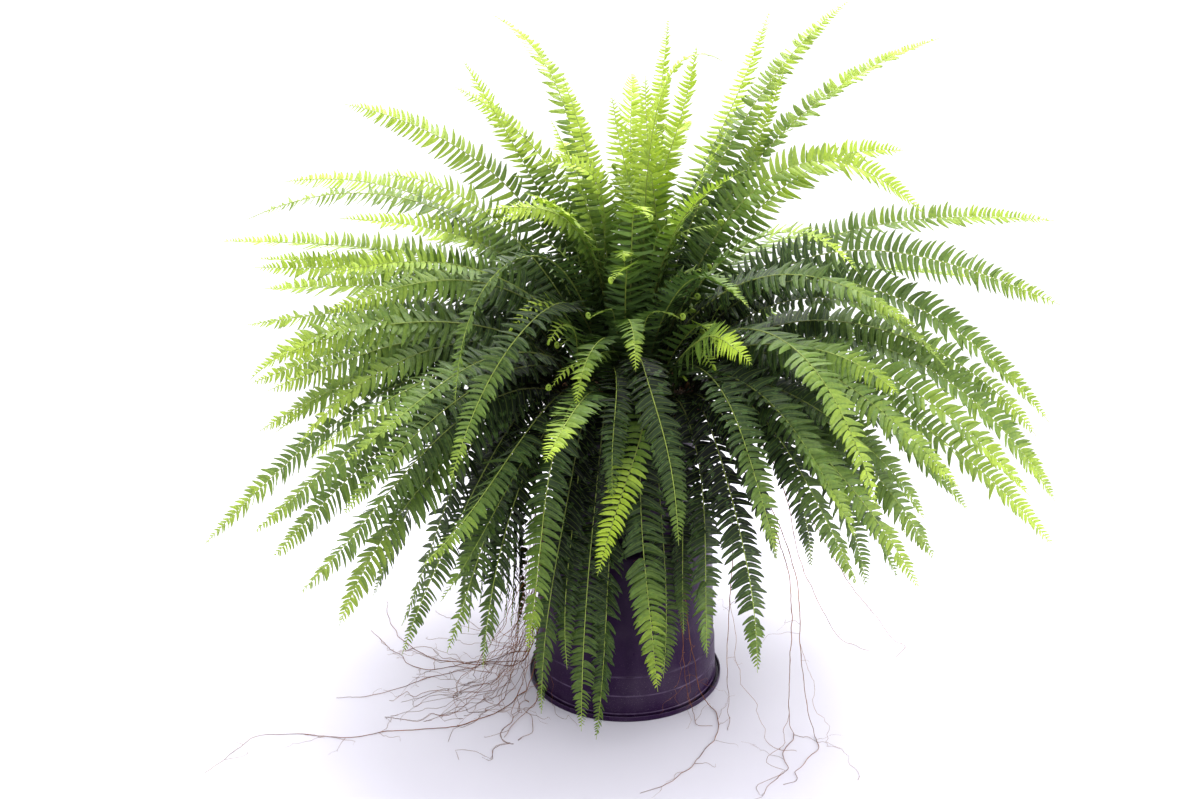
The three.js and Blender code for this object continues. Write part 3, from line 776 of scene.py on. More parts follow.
@dataclass
class Foliage:
    """How fronds are drawn: their ribs, their leaflets and the crowns that they grow from.

    Sizes are in millimetres where nothing else is said.
    """

    pitch: float = 10.2  # between the leaflets of one side, in the middle of a frond
    bare: float = 0.07  # share of the rib without leaflets
    end: float = 0.985  # share of the rib at which the last leaflets stand
    broad: float = 1.02  # a leaflet's width over the pitch
    thick: float = 0.00042  # a leaflet's thickness, in metres
    small: float = 0.027  # leaflets shorter than this, in metres, get few stations
    shortest: float = 0.0035  # no leaflet is shorter, in metres
    missing: float = 0.02  # share of leaflets that have fallen off
    habit: Habit = Habit()
    seed: int = 1000  # a frond's random numbers start from this and its number
    rib_sides: int = 6
    rib_points: int = 34
    crown_radius: float = 9.4
    crown_sunk: float = 11.5
    crown_proud: float = 14.5
    crown_sides: int = 18
    clumps: list[Clump] = field(default_factory=lambda: CLUMPS + far_clumps())

    def shares(self, rib: Rib, frond: Frond) -> np.ndarray:
        """Where the leaflets stand along a rib, those of the two sides in turn.

        They come closer together towards the tip: the pitch falls as 1 - 0.55 share^3, and their
        places are where its running count passes the halves and whole numbers.

        Args:
            rib: the frond's rib.
            frond: the frond. Broader ones have a wider pitch.

        Returns:
            Their shares of the rib's length.
        """
        share = np.linspace(self.bare, self.end, 300)
        pitch = self.pitch * (frond.half / 37) ** 0.5 * (1 - 0.55 * share**3)
        step = (share[1] - share[0]) * rib.length / MM
        count = np.concatenate([[0], np.cumsum(step / pitch[:-1])])
        return np.interp(np.arange(0, count[-1], 0.5), count, share)

    def leaflets(self, rib: Rib, frond: Frond, tone: float, rng: np.random.Generator) -> Surface:
        """The leaflets of one frond.

        A leaflet's middle line leaves the rib sideways, swept forward, and bends with the square of
        the way along it towards the frond's tip and down. Its halves are as broad as
        (0.15 + 0.85 (1 - e^(-u / 0.025))) (1 - u^blunt)^0.7 of half its width, wider on the tip's
        side near its foot, where its ear is, and narrower on the other. Its edge ripples. How
        blunt its apex is differs from frond to frond, and is less in the upper fronds. The higher
        a frond's tone is, the slimmer are its leaflets, and so are those shorter than 14 mm.

        Along the frond they lean forward by 3 + 7 share + 16 share^6 degrees more, and their tone
        gains 0.46 (share - 0.56) + 0.22 share^4: painted shade darkens the foot and painted light
        brightens the tip. It loses up to 0.36 from 0.4 m to 0.1 m off the shaded middle of the
        foliage, which is painted shade.

        Args:
            rib: the frond's rib.
            frond: the frond.
            tone: its colour from 0 to 1.
            rng: the frond's random numbers.

        Returns:
            The leaflets as one surface with slot 0.
        """
        habit = self.habit
        share = self.shares(rib, frond)
        count = len(share)
        side = np.where(np.arange(count) % 2 == 0, 1.0, -1.0)
        lift = rng.uniform(*habit.lift)
        twist = rng.normal(*habit.twist)
        slim = rng.uniform(*habit.slim) * (1 - 0.17 * smooth(tone, 0.55, 0.85))
        forward = rng.uniform(*habit.forward)
        blunt = rng.uniform(*habit.blunt) - 0.8 * smooth(frond.height, 450, 700)
        taper = rng.uniform(*habit.taper)
        share = share + rng.normal(0, habit.place, count)
        keep = (rng.random(count) > self.missing) | (share > 0.9)
        point, along, across, up = rib.at(share)
        length = frond.half * MM * leaflet_reach(share, taper) * rng.normal(1, habit.length, count)
        length = np.maximum(length, self.shortest)
        width = self.pitch * MM * (1 - 0.55 * share**3) * self.broad * slim
        width = width * rng.normal(1, habit.width, count) * np.clip(length / 0.014, 0.45, 1)
        lean = forward + 3 + 7 * share + 16 * share**6
        leaf = Leaflets(
            point, along, across * side[:, None], up, side, length, width,
            sweep=np.radians(lean + rng.normal(0, habit.sweep, count)),
            rise=np.radians(lift + rng.normal(0, habit.rise, count)),
            turn=np.radians(twist + rng.normal(0, habit.turn, count)) * side,
            falcate=rng.normal(*habit.falcate, count),
            droop=np.clip(rng.normal(*habit.droop, count), 0, 0.4),
        )
        surfaces = []
        large = length > self.small
        for blade, chosen in ((LARGE_BLADE, large & keep), (SMALL_BLADE, ~large & keep)):
            if chosen.any():
                away = np.linalg.norm(point[chosen] - HEART, axis=1)
                # Painted shade and light: the tone is darker towards the frond's foot and near the middle
                # of the foliage, and lighter towards the tip.
                shade = tone + 0.46 * (share[chosen] - 0.56) + 0.22 * share[chosen] ** 4
                shade -= 0.36 * (1 - smooth(away, 0.10, 0.40))
                shade += rng.normal(0, habit.tone, int(chosen.sum()))
                surfaces.append(self.blades(blade, leaf.some(chosen), shade, blunt, rng))
        return Surface.joined(surfaces)

    def blades(
        self, blade: Blade, leaf: Leaflets, tone: np.ndarray, blunt: float, rng: np.random.Generator
    ) -> Surface:
        """Thin closed leaflets of one kind, worked out together.

        At each station stand four corners: the two edges, the middle of the upper face and the
        middle of the lower one. The foot and the apex close the ends.

        Args:
            blade: the kind.
            leaf: the leaflets.
            tone: their colours.
            blunt: the power of the way along them with which they narrow.
            rng: random numbers.

        Returns:
            The leaflets as one surface.
        """
        u = np.array(blade.stations)
        count, rows = len(leaf.side), len(u)
        c, s = np.cos(leaf.sweep)[:, None], np.sin(leaf.sweep)[:, None]
        flat = leaf.out * c + leaf.along * s
        lean = flat * np.cos(leaf.rise)[:, None] + leaf.up * np.sin(leaf.rise)[:, None]
        wide = leaf.along * c - leaf.out * s
        normal = np.cross(lean, wide) * leaf.side[:, None]
        wide = wide * np.cos(leaf.turn)[:, None] + normal * np.sin(leaf.turn)[:, None]
        bend = leaf.along * leaf.falcate[:, None] + [0, 0, -1] * leaf.droop[:, None]
        reach = np.append(u, 1.0)[None, :, None]
        middle = leaf.point[:, None] + leaf.length[:, None, None] * (
            lean[:, None] * reach + bend[:, None] * reach**2
        )
        tangent = unit(lean[:, None] + 2 * reach * bend[:, None])
        spread = unit(wide[:, None] - (wide[:, None] * tangent).sum(-1, keepdims=True) * tangent)
        face = np.cross(tangent, spread) * leaf.side[:, None, None]
        grown = 0.15 + 0.85 * (1 - np.exp(-u / 0.025))
        half = 0.5 * leaf.width[:, None] * grown * (1 - u**blunt) ** 0.7
        ear = 1 + 0.25 * np.exp(-(((u - 0.08) / 0.07) ** 2))
        cut = 1 - 0.25 * np.exp(-((u / 0.08) ** 2))
        far_wave, near_wave = 1 + blade.ripple * rng.normal(0, 1, (2, count, rows))
        far_edge = (half * ear * far_wave)[..., None]
        near_edge = (half * cut * near_wave)[..., None]
        arch = 0.10 * leaf.width[:, None, None]
        curl = 0.05 * leaf.width[:, None, None] * rng.normal(0, 1, (count, rows, 1))
        centre, spread, face = middle[:, :rows], spread[:, :rows], face[:, :rows]
        broad_enough = (half > 0.0012)[..., None]  # nearer the apex the edges stay flat
        tip_thin = (1 - 0.6 * u)[None, :, None] * self.thick / 2
        corners = np.stack([
            centre + spread * far_edge - face * (arch + curl) * broad_enough,
            centre + face * tip_thin,
            centre - spread * near_edge - face * (arch - curl) * broad_enough,
            centre - face * (tip_thin + 0.0001),
        ], axis=2)
        points = np.concatenate([corners.reshape(count, -1, 3), middle[:, rows:]], axis=1)
        size = 4 * rows + 1
        plain = self.pattern(rows, u)
        faces, places = [], []
        for sign in (1.0, -1.0):
            chosen = np.flatnonzero(leaf.side == sign)
            pattern, uv = (part if sign > 0 else turned_over(plain[0], part) for part in plain)
            faces.append(repeated(pattern, chosen * size))
            places.append(np.broadcast_to(uv[None], (len(chosen), *uv.shape)).reshape(-1, 4, 2))
        margin = np.zeros((count, size), bool)
        margin[:, 0:4 * rows:2] = True
        return Surface.of(
            points.reshape(-1, 3), np.vstack(faces), np.vstack(places),
            tone=np.repeat(tone, size), margin=margin.ravel(),
        )

    @staticmethod
    def pattern(rows: int, u: np.ndarray) -> tuple[np.ndarray, np.ndarray]:
        """The faces of one leaflet on the rib's right, and the places of their corners.

        Args:
            rows: how many stations it has.
            u: where they are.

        Returns:
            The faces as rows of four corners, and their UV: along the leaflet, and round it from 0
            at the far edge over 0.5 at the midrib to 1 at the near edge, then back below to 2.
        """
        row, corner = np.meshgrid(np.arange(rows - 1), np.arange(4), indexing="ij")
        here, beside = 4 * row + corner, 4 * row + (corner + 1) % 4
        quads = np.stack([here, here + 4, beside + 4, beside], axis=-1).reshape(-1, 4)
        way = np.stack([u[row], u[row + 1], u[row + 1], u[row]], axis=-1)
        turn = 0.5 * corner[..., None] + [0, 0, 0.5, 0.5]
        quad_places = np.stack([way, turn], axis=-1).reshape(-1, 4, 2)
        foot = np.array([[0, 1, 2, -1], [0, 2, 3, -1]])
        foot_places = np.array([[[0, 0], [0, 0.5], [0, 1], [0, 0]], [[0, 2], [0, 1], [0, 1.5], [0, 0]]])
        last, k = 4 * (rows - 1), np.arange(4)
        apex = np.stack([last + k, np.full(4, 4 * rows), last + (k + 1) % 4, np.full(4, -1)], axis=1)
        way = np.broadcast_to([u[-1], 1, u[-1], 0], (4, 4))
        turn = np.stack([0.5 * k, 0.5 * k + 0.25, 0.5 * k + 0.5, 0 * k], axis=1)
        apex_places = np.stack([way, turn], axis=-1)
        return np.vstack([quads, foot, apex]), np.vstack([quad_places, foot_places, apex_places])

    def ribs(self, ribs: list[Rib]) -> Surface:
        """The stalks and ribs of a clump's fronds: tubes that thin from 1.3 mm to 0.35 mm.

        Args:
            ribs: the clump's ribs.

        Returns:
            The tubes with slot 1. Their tone is the share of the way to the tip.
        """
        share = np.linspace(0, 1, self.rib_points) ** 0.9
        paths = np.stack([rib.at(share)[0] for rib in ribs])
        radius = (0.35 + 0.95 * (1 - share) ** 0.8) * MM
        radii = np.broadcast_to(radius, paths.shape[:2])
        guide = np.stack([rib.side for rib in ribs])
        return tubes(paths, radii, self.rib_sides, guide, slot=1, tone=share[None])

    def crown(self, clump: Clump, seed: int) -> Surface:
        """A clump's crown: a lumpy pointed dome of old stalk feet and brown scales.

        A profile of radius against height is turned about the crown's own axis, and above the mix
        each radius is then changed by seven waves of the azimuth.

        Args:
            clump: the clump.
            seed: its number, which turns its waves.

        Returns:
            The crown with slot 2.
        """
        height = np.array([-self.crown_sunk, -6, 1, 5, 9, 12, self.crown_proud - 0.6])
        radius = self.crown_radius * np.array([0.9, 1.0, 1.0, 0.86, 0.6, 0.34, 0.12])
        angle = np.arange(self.crown_sides) * 2 * np.pi / self.crown_sides
        ridges = 1 + 0.07 * np.sin(7 * angle + seed)[None] * smooth(height, -2, 6)[:, None]
        level = np.stack([np.cos(angle), np.sin(angle)], -1) * (radius[:, None] * ridges)[..., None]
        ring = np.concatenate([level, np.broadcast_to(height[:, None, None], (*ridges.shape, 1))], -1)
        place = compass(clump.azimuth) * clump.radius + [0, 0, SOIL_TOP]
        points = (ring.reshape(-1, 3) + place) * MM
        ends = (np.array([[0, 0, height[0]], [0, 0, self.crown_proud]]) + place) * MM
        faces = lathe_faces(len(height), self.crown_sides)
        return Surface.of(np.vstack([points, ends]), faces, slot=2, tone=0.2)

    def tone(self, clump: Clump, frond: Frond, number: int) -> float:
        """A frond's colour: its own where it is set, else lighter the higher and further it reaches, as
        painted light.

        Args:
            clump: its crown.
            frond: the frond.
            number: its number, which varies the colour by the golden ratio.

        Returns:
            The tone from 0, deep, to 1, lime.
        """
        if frond.tone is not None:
            return frond.tone
        # Painted light and shade: high, far-reaching fronds and those of the middle crowns are set
        # lighter, as the light falls on them; low inner ones stay darker.
        high = float(smooth(np.array(frond.height), 150, 900))
        outer = float(smooth(np.array(frond.reach), 330, 560))
        inner = 0.12 if clump.radius < 40 else 0.0
        return 0.24 + 0.22 * high + 0.28 * outer + inner + 0.18 * ((number * GOLDEN) % 1 - 0.5)

    def grown(self, springs: list[tuple[Clump, Frond, int]]) -> tuple[list[Rib], list[Surface]]:
        """Fronds with their leaflets, and their ribs together.

        Args:
            springs: each frond's crown, the frond and its number.

        Returns:
            The fronds' ribs, and the surfaces.
        """
        ribs, parts = [], []
        for clump, frond, number in springs:
            ribs.append(Rib(clump, frond))
            rng = np.random.default_rng(self.seed + number)
            parts.append(self.leaflets(ribs[-1], frond, self.tone(clump, frond, number), rng))
        return ribs, [*parts, self.ribs(ribs)]

    def build(self, finishes: list[bpy.types.Material]) -> None:
        """Makes a piece for each clump, which stands for the clump's solid.

        Args:
            finishes: the materials of leaflets, ribs and crowns.
        """
        number = 0
        for index, clump in enumerate(self.clumps, start=1):
            springs = [(clump, frond, number + k) for k, frond in enumerate(clump.fronds, start=1)]
            number += len(springs)
            parts = [*self.grown(springs)[1], self.crown(clump, index)]
            node = f"frond_clump_{index:02d}"
            Surface.joined(parts).piece(f"fronds_{index:02d}", finishes, Slot.FROND, [node])


@dataclass
class SmallFronds:
    """The small fronds among the grown ones: this season's, which curl, and old ones, which hang.

    Each springs from the crown that is a stride further on than the last one's. How far it reaches,
    how high it stands and how broad it is vary by multiples of the golden ratio.
    """

    young: int = 38
    old: int = 17
    stride: int = 7  # from one frond's crown to the next one's
    coil: float = 0.0046  # radius of a young frond's coiled tip, in metres
    young_shape: Foliage = field(
        default_factory=lambda: Foliage(pitch=13.5, broad=0.64, bare=0.30, rib_points=20, seed=5000)
    )
    old_shape: Foliage = field(
        default_factory=lambda: Foliage(
            pitch=14.5, broad=0.95, bare=0.30, rib_points=20, small=0.05, seed=5000
        )
    )

    @staticmethod
    def varied(number: int) -> tuple[float, float]:
        """Two numbers between 0 and 1 that belong to a frond's number."""
        return (number * GOLDEN) % 1, (number * 2.3 * GOLDEN) % 1

    def curled(self, clump: Clump, number: int) -> Frond:
        """A young frond of a crown: it bends over where it ends. Every second one stands taller."""
        first, second = self.varied(number)
        taller, hang, half = (1.9, 30, 30) if number % 2 == 0 else (1.0, 10, 24)
        return Frond(
            azimuth=clump.azimuth + 50 * (second - 0.5), reach=clump.radius + 40 + 120 * first,
            height=ROOT_HEIGHT + (55 + 120 * second) * taller, rise=76, hang=hang - 70 * first,
            full=0.5, bow=40 * (first - 0.5), half=half + 11 * second, roll=60 * (second - 0.5),
            tone=0.56 + 0.30 * first,
        )

    def hanging(self, clump: Clump, number: int) -> Frond:
        """An old frond of a crown at the edge: it comes over the rim and hangs close to it, dark with
        painted shade.
        """
        first, second = self.varied(number)
        return Frond(
            azimuth=clump.azimuth + 18 * (first - 0.5), reach=172 + 100 * first,
            height=70 + 190 * second, rise=58, hang=-84, full=0.52, bow=24 * (second - 0.5),
            half=30 + 7 * second, tone=0.08 + 0.14 * first,
        )

    def coils(self, ribs: list[Rib]) -> Surface:
        """The coiled tips of young fronds.

        A coil goes on from its frond's tip in the plane of the rib and its upper side. It turns 1.4
        times round a centre that stands one radius above the tip, comes evenly nearer to it, up to a
        quarter of the radius, and gets thinner on its way.

        Args:
            ribs: the fronds' ribs.

        Returns:
            The coils with slot 0.
        """
        way = np.linspace(0, 1, 14)
        turn = 2 * np.pi * 1.4 * way[None, :, None]
        frames = [rib.at(np.ones(1)) for rib in ribs]
        point, along, across, up = (np.stack(parts) for parts in zip(*frames))
        near = self.coil * (1 - 0.75 * way)[None, :, None]
        paths = point + up * self.coil + near * (along * np.sin(turn) - up * np.cos(turn))
        thick = np.broadcast_to(0.42 * self.coil * (1 - 0.35 * way), paths.shape[:2])
        return tubes(paths, thick, 5, across, tone=0.80)

    def build(self, finishes: list[bpy.types.Material]) -> None:
        """Makes a piece of the young fronds and one of the old.

        The young ones come in turn from the ring of crowns nearest the middle and from all rings
        but the inmost one. The old ones come from the outer ring, but not where they would cover
        the lower container's front.

        Args:
            finishes: the materials of leaflets, ribs and crowns.
        """
        rings = [clump for clump in CLUMPS if clump.radius > 30]
        middle = [clump for clump in rings if clump.radius < 40]
        edge = [clump for clump in CLUMPS if clump.radius > 90 and not -25 < clump.azimuth < 45]
        young, old = [], []
        for number in range(self.young):
            crowns = rings if number % 2 else middle
            crown = crowns[self.stride * number % len(crowns)]
            young.append((crown, self.curled(crown, number), number))
        for number in range(self.old):
            crown = edge[self.stride * number % len(edge)]
            old.append((crown, self.hanging(crown, number), number))
        ribs, parts = self.young_shape.grown(young)
        parts.append(self.coils(ribs))
        Surface.joined(parts).piece("young_fronds", finishes, Slot.FROND, [])
        parts = self.old_shape.grown(old)[1]
        Surface.joined(parts).piece("old_fronds", finishes, Slot.FROND, [])


# Containers


def rounded(corners: list[tuple[float, float, float]], steps: int = 5) -> np.ndarray:
    """A profile with round corners.

    Each corner gives way to a quadratic curve between two points that stand off it by its radius
    along its two sides, with the corner itself as the curve's middle point.

    Args:
        corners: radius, height and rounding of each corner, in millimetres.
        steps: how many points a round corner gets.

    Returns:
        The profile's points.
    """
    made = []
    points = np.array([corner[:2] for corner in corners], float)
    for index, (x, y, radius) in enumerate(corners):
        here = np.array([x, y])
        if radius <= 0 or index in (0, len(corners) - 1):
            made.append(here[None])
            continue
        back, ahead = points[index - 1] - here, points[index + 1] - here
        back = back / np.linalg.norm(back) * min(radius, 0.48 * np.linalg.norm(back))
        ahead = ahead / np.linalg.norm(ahead) * min(radius, 0.48 * np.linalg.norm(ahead))
        t = np.linspace(0, 1, steps)[:, None]
        made.append(here + (1 - t) ** 2 * back + t**2 * ahead)
    return np.vstack(made)


@dataclass(frozen=True)
class Dent:
    """A shallow press mark in a container's wall: where it is, how far it spreads and how deep."""

    azimuth: float
    height: float
    wide: float
    tall: float
    deep: float


@dataclass
class Container:
    """A nursery container as it stands on its base: sizes in millimetres, as its solid has them."""

    name: str
    node: str
    height: float
    rim_radius: float
    base_radius: float
    corner: float
    wall: float
    floor: float
    lip_drop: float
    lip_wall: float
    channel: float
    steps: tuple[tuple[float, float], ...]
    dents: tuple[Dent, ...] = ()
    wobble: float = 0.0
    sides: int = 150
    slot_count: int = 6
    slot_columns: int = 4
    slot_reach: float = 8.5  # how far a drain slot reaches along the base and up the wall
    slot_rows: int = 6

    def wall_radius(self, height: float) -> float:
        """The wall's radius outside at a height over the base, with the steps passed so far."""
        top = self.rim_radius - self.lip_wall - self.channel
        slope = (top - sum(out for _, out in self.steps) - self.base_radius) / (self.height - self.corner)
        out = sum(step for down, step in self.steps if height > self.height - down)
        return self.base_radius + slope * (height - self.corner) + out

    def corner_rows(self, inset: float, low: float) -> np.ndarray:
        """The round corner between base and wall: the rows in which the drain slots are cut.

        It is a quarter of a superellipse of exponent 2.6 between a point on the base and one on the
        wall.

        Args:
            inset: how far inside the outer face it runs.
            low: the height of the base's face.

        Returns:
            The rows' radius and height, from the base to the wall.
        """
        start = np.array([self.base_radius - self.slot_reach, low])
        end = np.array([self.wall_radius(self.slot_reach) - inset, self.slot_reach])
        angle = np.linspace(0, np.pi / 2, self.slot_rows)
        share = np.stack([np.sin(angle), 1 - np.cos(angle)], axis=-1) ** np.array([1 / 1.3, 1.0])
        return start + (end - start) * share

    def profile(self) -> tuple[np.ndarray, int, int]:
        """The closed profile, from the middle of the base round the outside to the floor inside.

        Returns:
            The rows' radius and height, and where the outer and the inner corner rows start.
        """
        top = self.height
        outer_corner = self.corner_rows(0.0, 0.0)
        going_up = [(*outer_corner[-1], 0.0)]
        for level in np.linspace(30, top - 90, 4):
            going_up.append((self.wall_radius(level), level, 0.0))
        for down, _ in self.steps:
            at = top - down
            going_up.append((self.wall_radius(at), at, 0.5))
            going_up.append((self.wall_radius(at + 0.01), at + 1.0, 0.5))
        skirt = self.rim_radius - self.lip_wall
        going_up += [
            (self.wall_radius(top), top - self.lip_wall, 1.2),
            (skirt, top - self.lip_wall, 1.2),
            (skirt - 0.1, top - self.lip_drop, 0.9),
            (self.rim_radius, top - self.lip_drop, 0.9),
            (self.rim_radius, top, 2.0),
            (self.wall_radius(top) - self.wall, top, 1.0),
        ]
        for down, _ in reversed(self.steps):
            at = top - down
            going_up.append((self.wall_radius(at + 0.01) - self.wall, at + 1.4 + self.wall, 1.2))
            going_up.append((self.wall_radius(at) - self.wall, at + self.wall, 1.2))
        inner_corner = self.corner_rows(self.wall, self.floor)[::-1]
        going_up.append((*inner_corner[0], 0.0))
        wall = rounded(going_up)
        base = np.array([[20.0, 0.0], [self.base_radius - 40, 0.0], [self.base_radius - 16, 0.0]])
        inside = np.array([[self.base_radius - 30, self.floor], [20.0, self.floor]])
        rows = np.vstack([base, outer_corner, wall[1:-1], inner_corner, inside])
        return rows, len(base), len(base) + self.slot_rows + len(wall) - 2

    def surface(self) -> Surface:
        """The container: its profile turned about the axis, with its drain slots and dents.

        The cells of the grid that lie in a slot are left out, outside and inside, and walls join
        the two edges of each hole. A dent moves the wall in by its depth times a bell of the
        azimuth and the height. The wobble adds sines of twice and three times the azimuth.

        Returns:
            The surface, standing on its base.
        """
        rows, outer, inner = self.profile()
        count, sides = len(rows), self.sides
        azimuth = np.arange(sides) * 360 / sides
        radius = np.broadcast_to(rows[:, :1], (count, sides)).copy()
        height = np.broadcast_to(rows[:, 1:], (count, sides)).copy()
        on_wall = (rows[:, 0] > self.base_radius - 6)[:, None] & (rows[:, 1] > self.slot_reach)[:, None]
        turn = np.radians(azimuth)[None]
        up_wall = height / self.height
        radius += on_wall * self.wobble * up_wall * (np.sin(2 * turn + 0.7) + 0.6 * np.sin(3 * turn + 2.1))
        for dent in self.dents:
            away = (azimuth - dent.azimuth + 180) % 360 - 180
            arc = np.radians(away)[None] * radius / dent.wide
            rise = (height - dent.height) / dent.tall
            radius -= on_wall * dent.deep * np.exp(-(arc**4) - rise**2)
        points = compass(azimuth)[None] * radius[..., None] + np.stack(
            [np.zeros_like(height), np.zeros_like(height), height], axis=-1
        )
        ends = np.array([[0, 0, 0], [0, 0, self.floor]])
        faces = lathe_faces(count, sides)
        centres = np.round(((np.arange(self.slot_count) + 0.5) * sides / self.slot_count)).astype(int)
        offset = np.arange(-self.slot_columns, self.slot_columns)
        columns = (centres[:, None] + offset).ravel() % sides
        cell_row, cell_column = np.divmod(np.arange((count - 1) * sides), sides)
        in_rows = ((cell_row >= outer) & (cell_row < outer + self.slot_rows - 1)) | (
            (cell_row >= inner) & (cell_row < inner + self.slot_rows - 1)
        )
        cut = np.concatenate([in_rows & np.isin(cell_column, columns), np.zeros(2 * sides, bool)])
        bridges, rim = self.bridges(outer, inner, centres)
        margin = np.zeros(count * sides + 2, bool)
        margin[rim] = True
        faces = np.vstack([faces[~cut], bridges])
        return Surface.of(np.vstack([points.reshape(-1, 3), ends]) * MM, faces, margin=margin)

    def bridges(self, outer: int, inner: int, centres: np.ndarray) -> tuple[np.ndarray, np.ndarray]:
        """The walls of the drain slots, between the outer and the inner face.

        Args:
            outer: the first of the outer corner rows.
            inner: the first of the inner corner rows, which run the other way.
            centres: the columns of the slots' middles.

        Returns:
            The faces, and the corners on the slots' edges.
        """
        last = self.slot_rows - 1
        row = np.arange(last)

        def corner(outside: bool, step: np.ndarray, column: np.ndarray) -> np.ndarray:
            """The number of a grid corner, counted from the base end of the corner rows."""
            line = outer + step if outside else inner + last - step
            return line * self.sides + column % self.sides

        def wall(first: tuple, second: tuple) -> np.ndarray:
            """Faces between the two sides, from one row or column of a slot's edge to the next."""
            edge = [corner(True, *first), corner(True, *second)]
            return np.stack([*edge, corner(False, *second), corner(False, *first)], axis=1)

        faces = []
        for centre in centres:
            across = centre + np.arange(-self.slot_columns, self.slot_columns)
            left, right = centre - self.slot_columns, centre + self.slot_columns
            faces += [wall((0, across), (0, across + 1)), wall((last, across + 1), (last, across))]
            faces += [wall((row, right), (row + 1, right)), wall((row + 1, left), (row, left))]
        made = np.vstack(faces)
        return made, np.unique(made)

    def build(self, finish: bpy.types.Material, bottom: float, upturned: bool = False) -> None:
        """Makes the container's piece.

        Args:
            finish: its material.
            bottom: the height that it stands at, in millimetres.
            upturned: whether its rim is on the floor. It is turned about the X axis then.
        """
        surface = self.surface()
        if upturned:
            surface.points = surface.points * [1, -1, -1] + [0, 0, self.height * MM]
        surface.points = surface.points + [0, 0, bottom * MM]
        surface.piece(self.name, [finish], Slot.CONTAINER, [self.node])


@dataclass
class PottingMix:
    """The potting mix in the upper container, up to 11 mm under its rim and higher in the middle."""

    sides: int = 144
    rings: int = 40  # over its top
    under_rim: float = 11
    mound: float = 7
    lumps: float = 2.2
    gap: float = 0.8  # between it and the wall

    def build(self, pot: Container, finish: bpy.types.Material) -> None:
        """Makes the mix: a profile inside the container's wall, its top moved up and down by lumps.

        The top rises to the middle by 1 - x^2 of the mound, x being the share of the way out.

        Args:
            pot: the container that it fills.
            finish: its material.
        """
        low, top = pot.floor + 0.5, pot.height - self.under_rim
        bend = pot.height - pot.steps[0][0]
        wall = [(pot.base_radius - pot.corner - 3, low), (pot.base_radius - pot.wall - 1.5, low + 8)]
        for out_at, level in ((bend, bend + pot.wall), (bend + 0.01, bend + 6), (top - 3, top - 3)):
            wall.append((pot.wall_radius(out_at) - pot.wall - self.gap, level))
        edge = wall[-1][0]
        across = np.linspace(edge - 2, 3, self.rings)
        mound = top + self.mound * (1 - (across / edge) ** 2)
        rows = np.vstack([[(30, low)], wall, np.stack([across, mound], axis=1)])
        azimuth = np.arange(self.sides) * 360 / self.sides
        points = compass(azimuth)[None] * rows[:, :1, None] + [0, 0, 1] * rows[:, 1:, None]
        points = points.reshape(-1, 3)
        on_top = np.repeat(np.arange(len(rows)) > len(wall), self.sides)
        rough = waves(points, 14, 5) + 0.6 * waves(points, 6, 6) + 0.4 * waves(points, 3, 7)
        points[:, 2] += on_top * self.lumps * (rough - 0.6)
        ends = [[0, 0, low], [0, 0, top + 6]]
        points = (np.vstack([points, ends]) + [0, 0, POT_BOTTOM]) * MM
        surface = Surface.of(points, lathe_faces(len(rows), self.sides))
        surface.piece("potting_mix_top", [finish], Slot.MIX, ["soil"])


# Runners


@dataclass(frozen=True)
class Bundle:
    """Runners from one foot: the routes of its solid, as azimuth, radius and height in millimetres.

    Each runner has so many short fine roots along it, and so many long ones that hang off it.
    """

    name: str
    node: str
    azimuth: float
    routes: tuple[tuple[Place, ...], ...]
    roots: int
    hanging: int


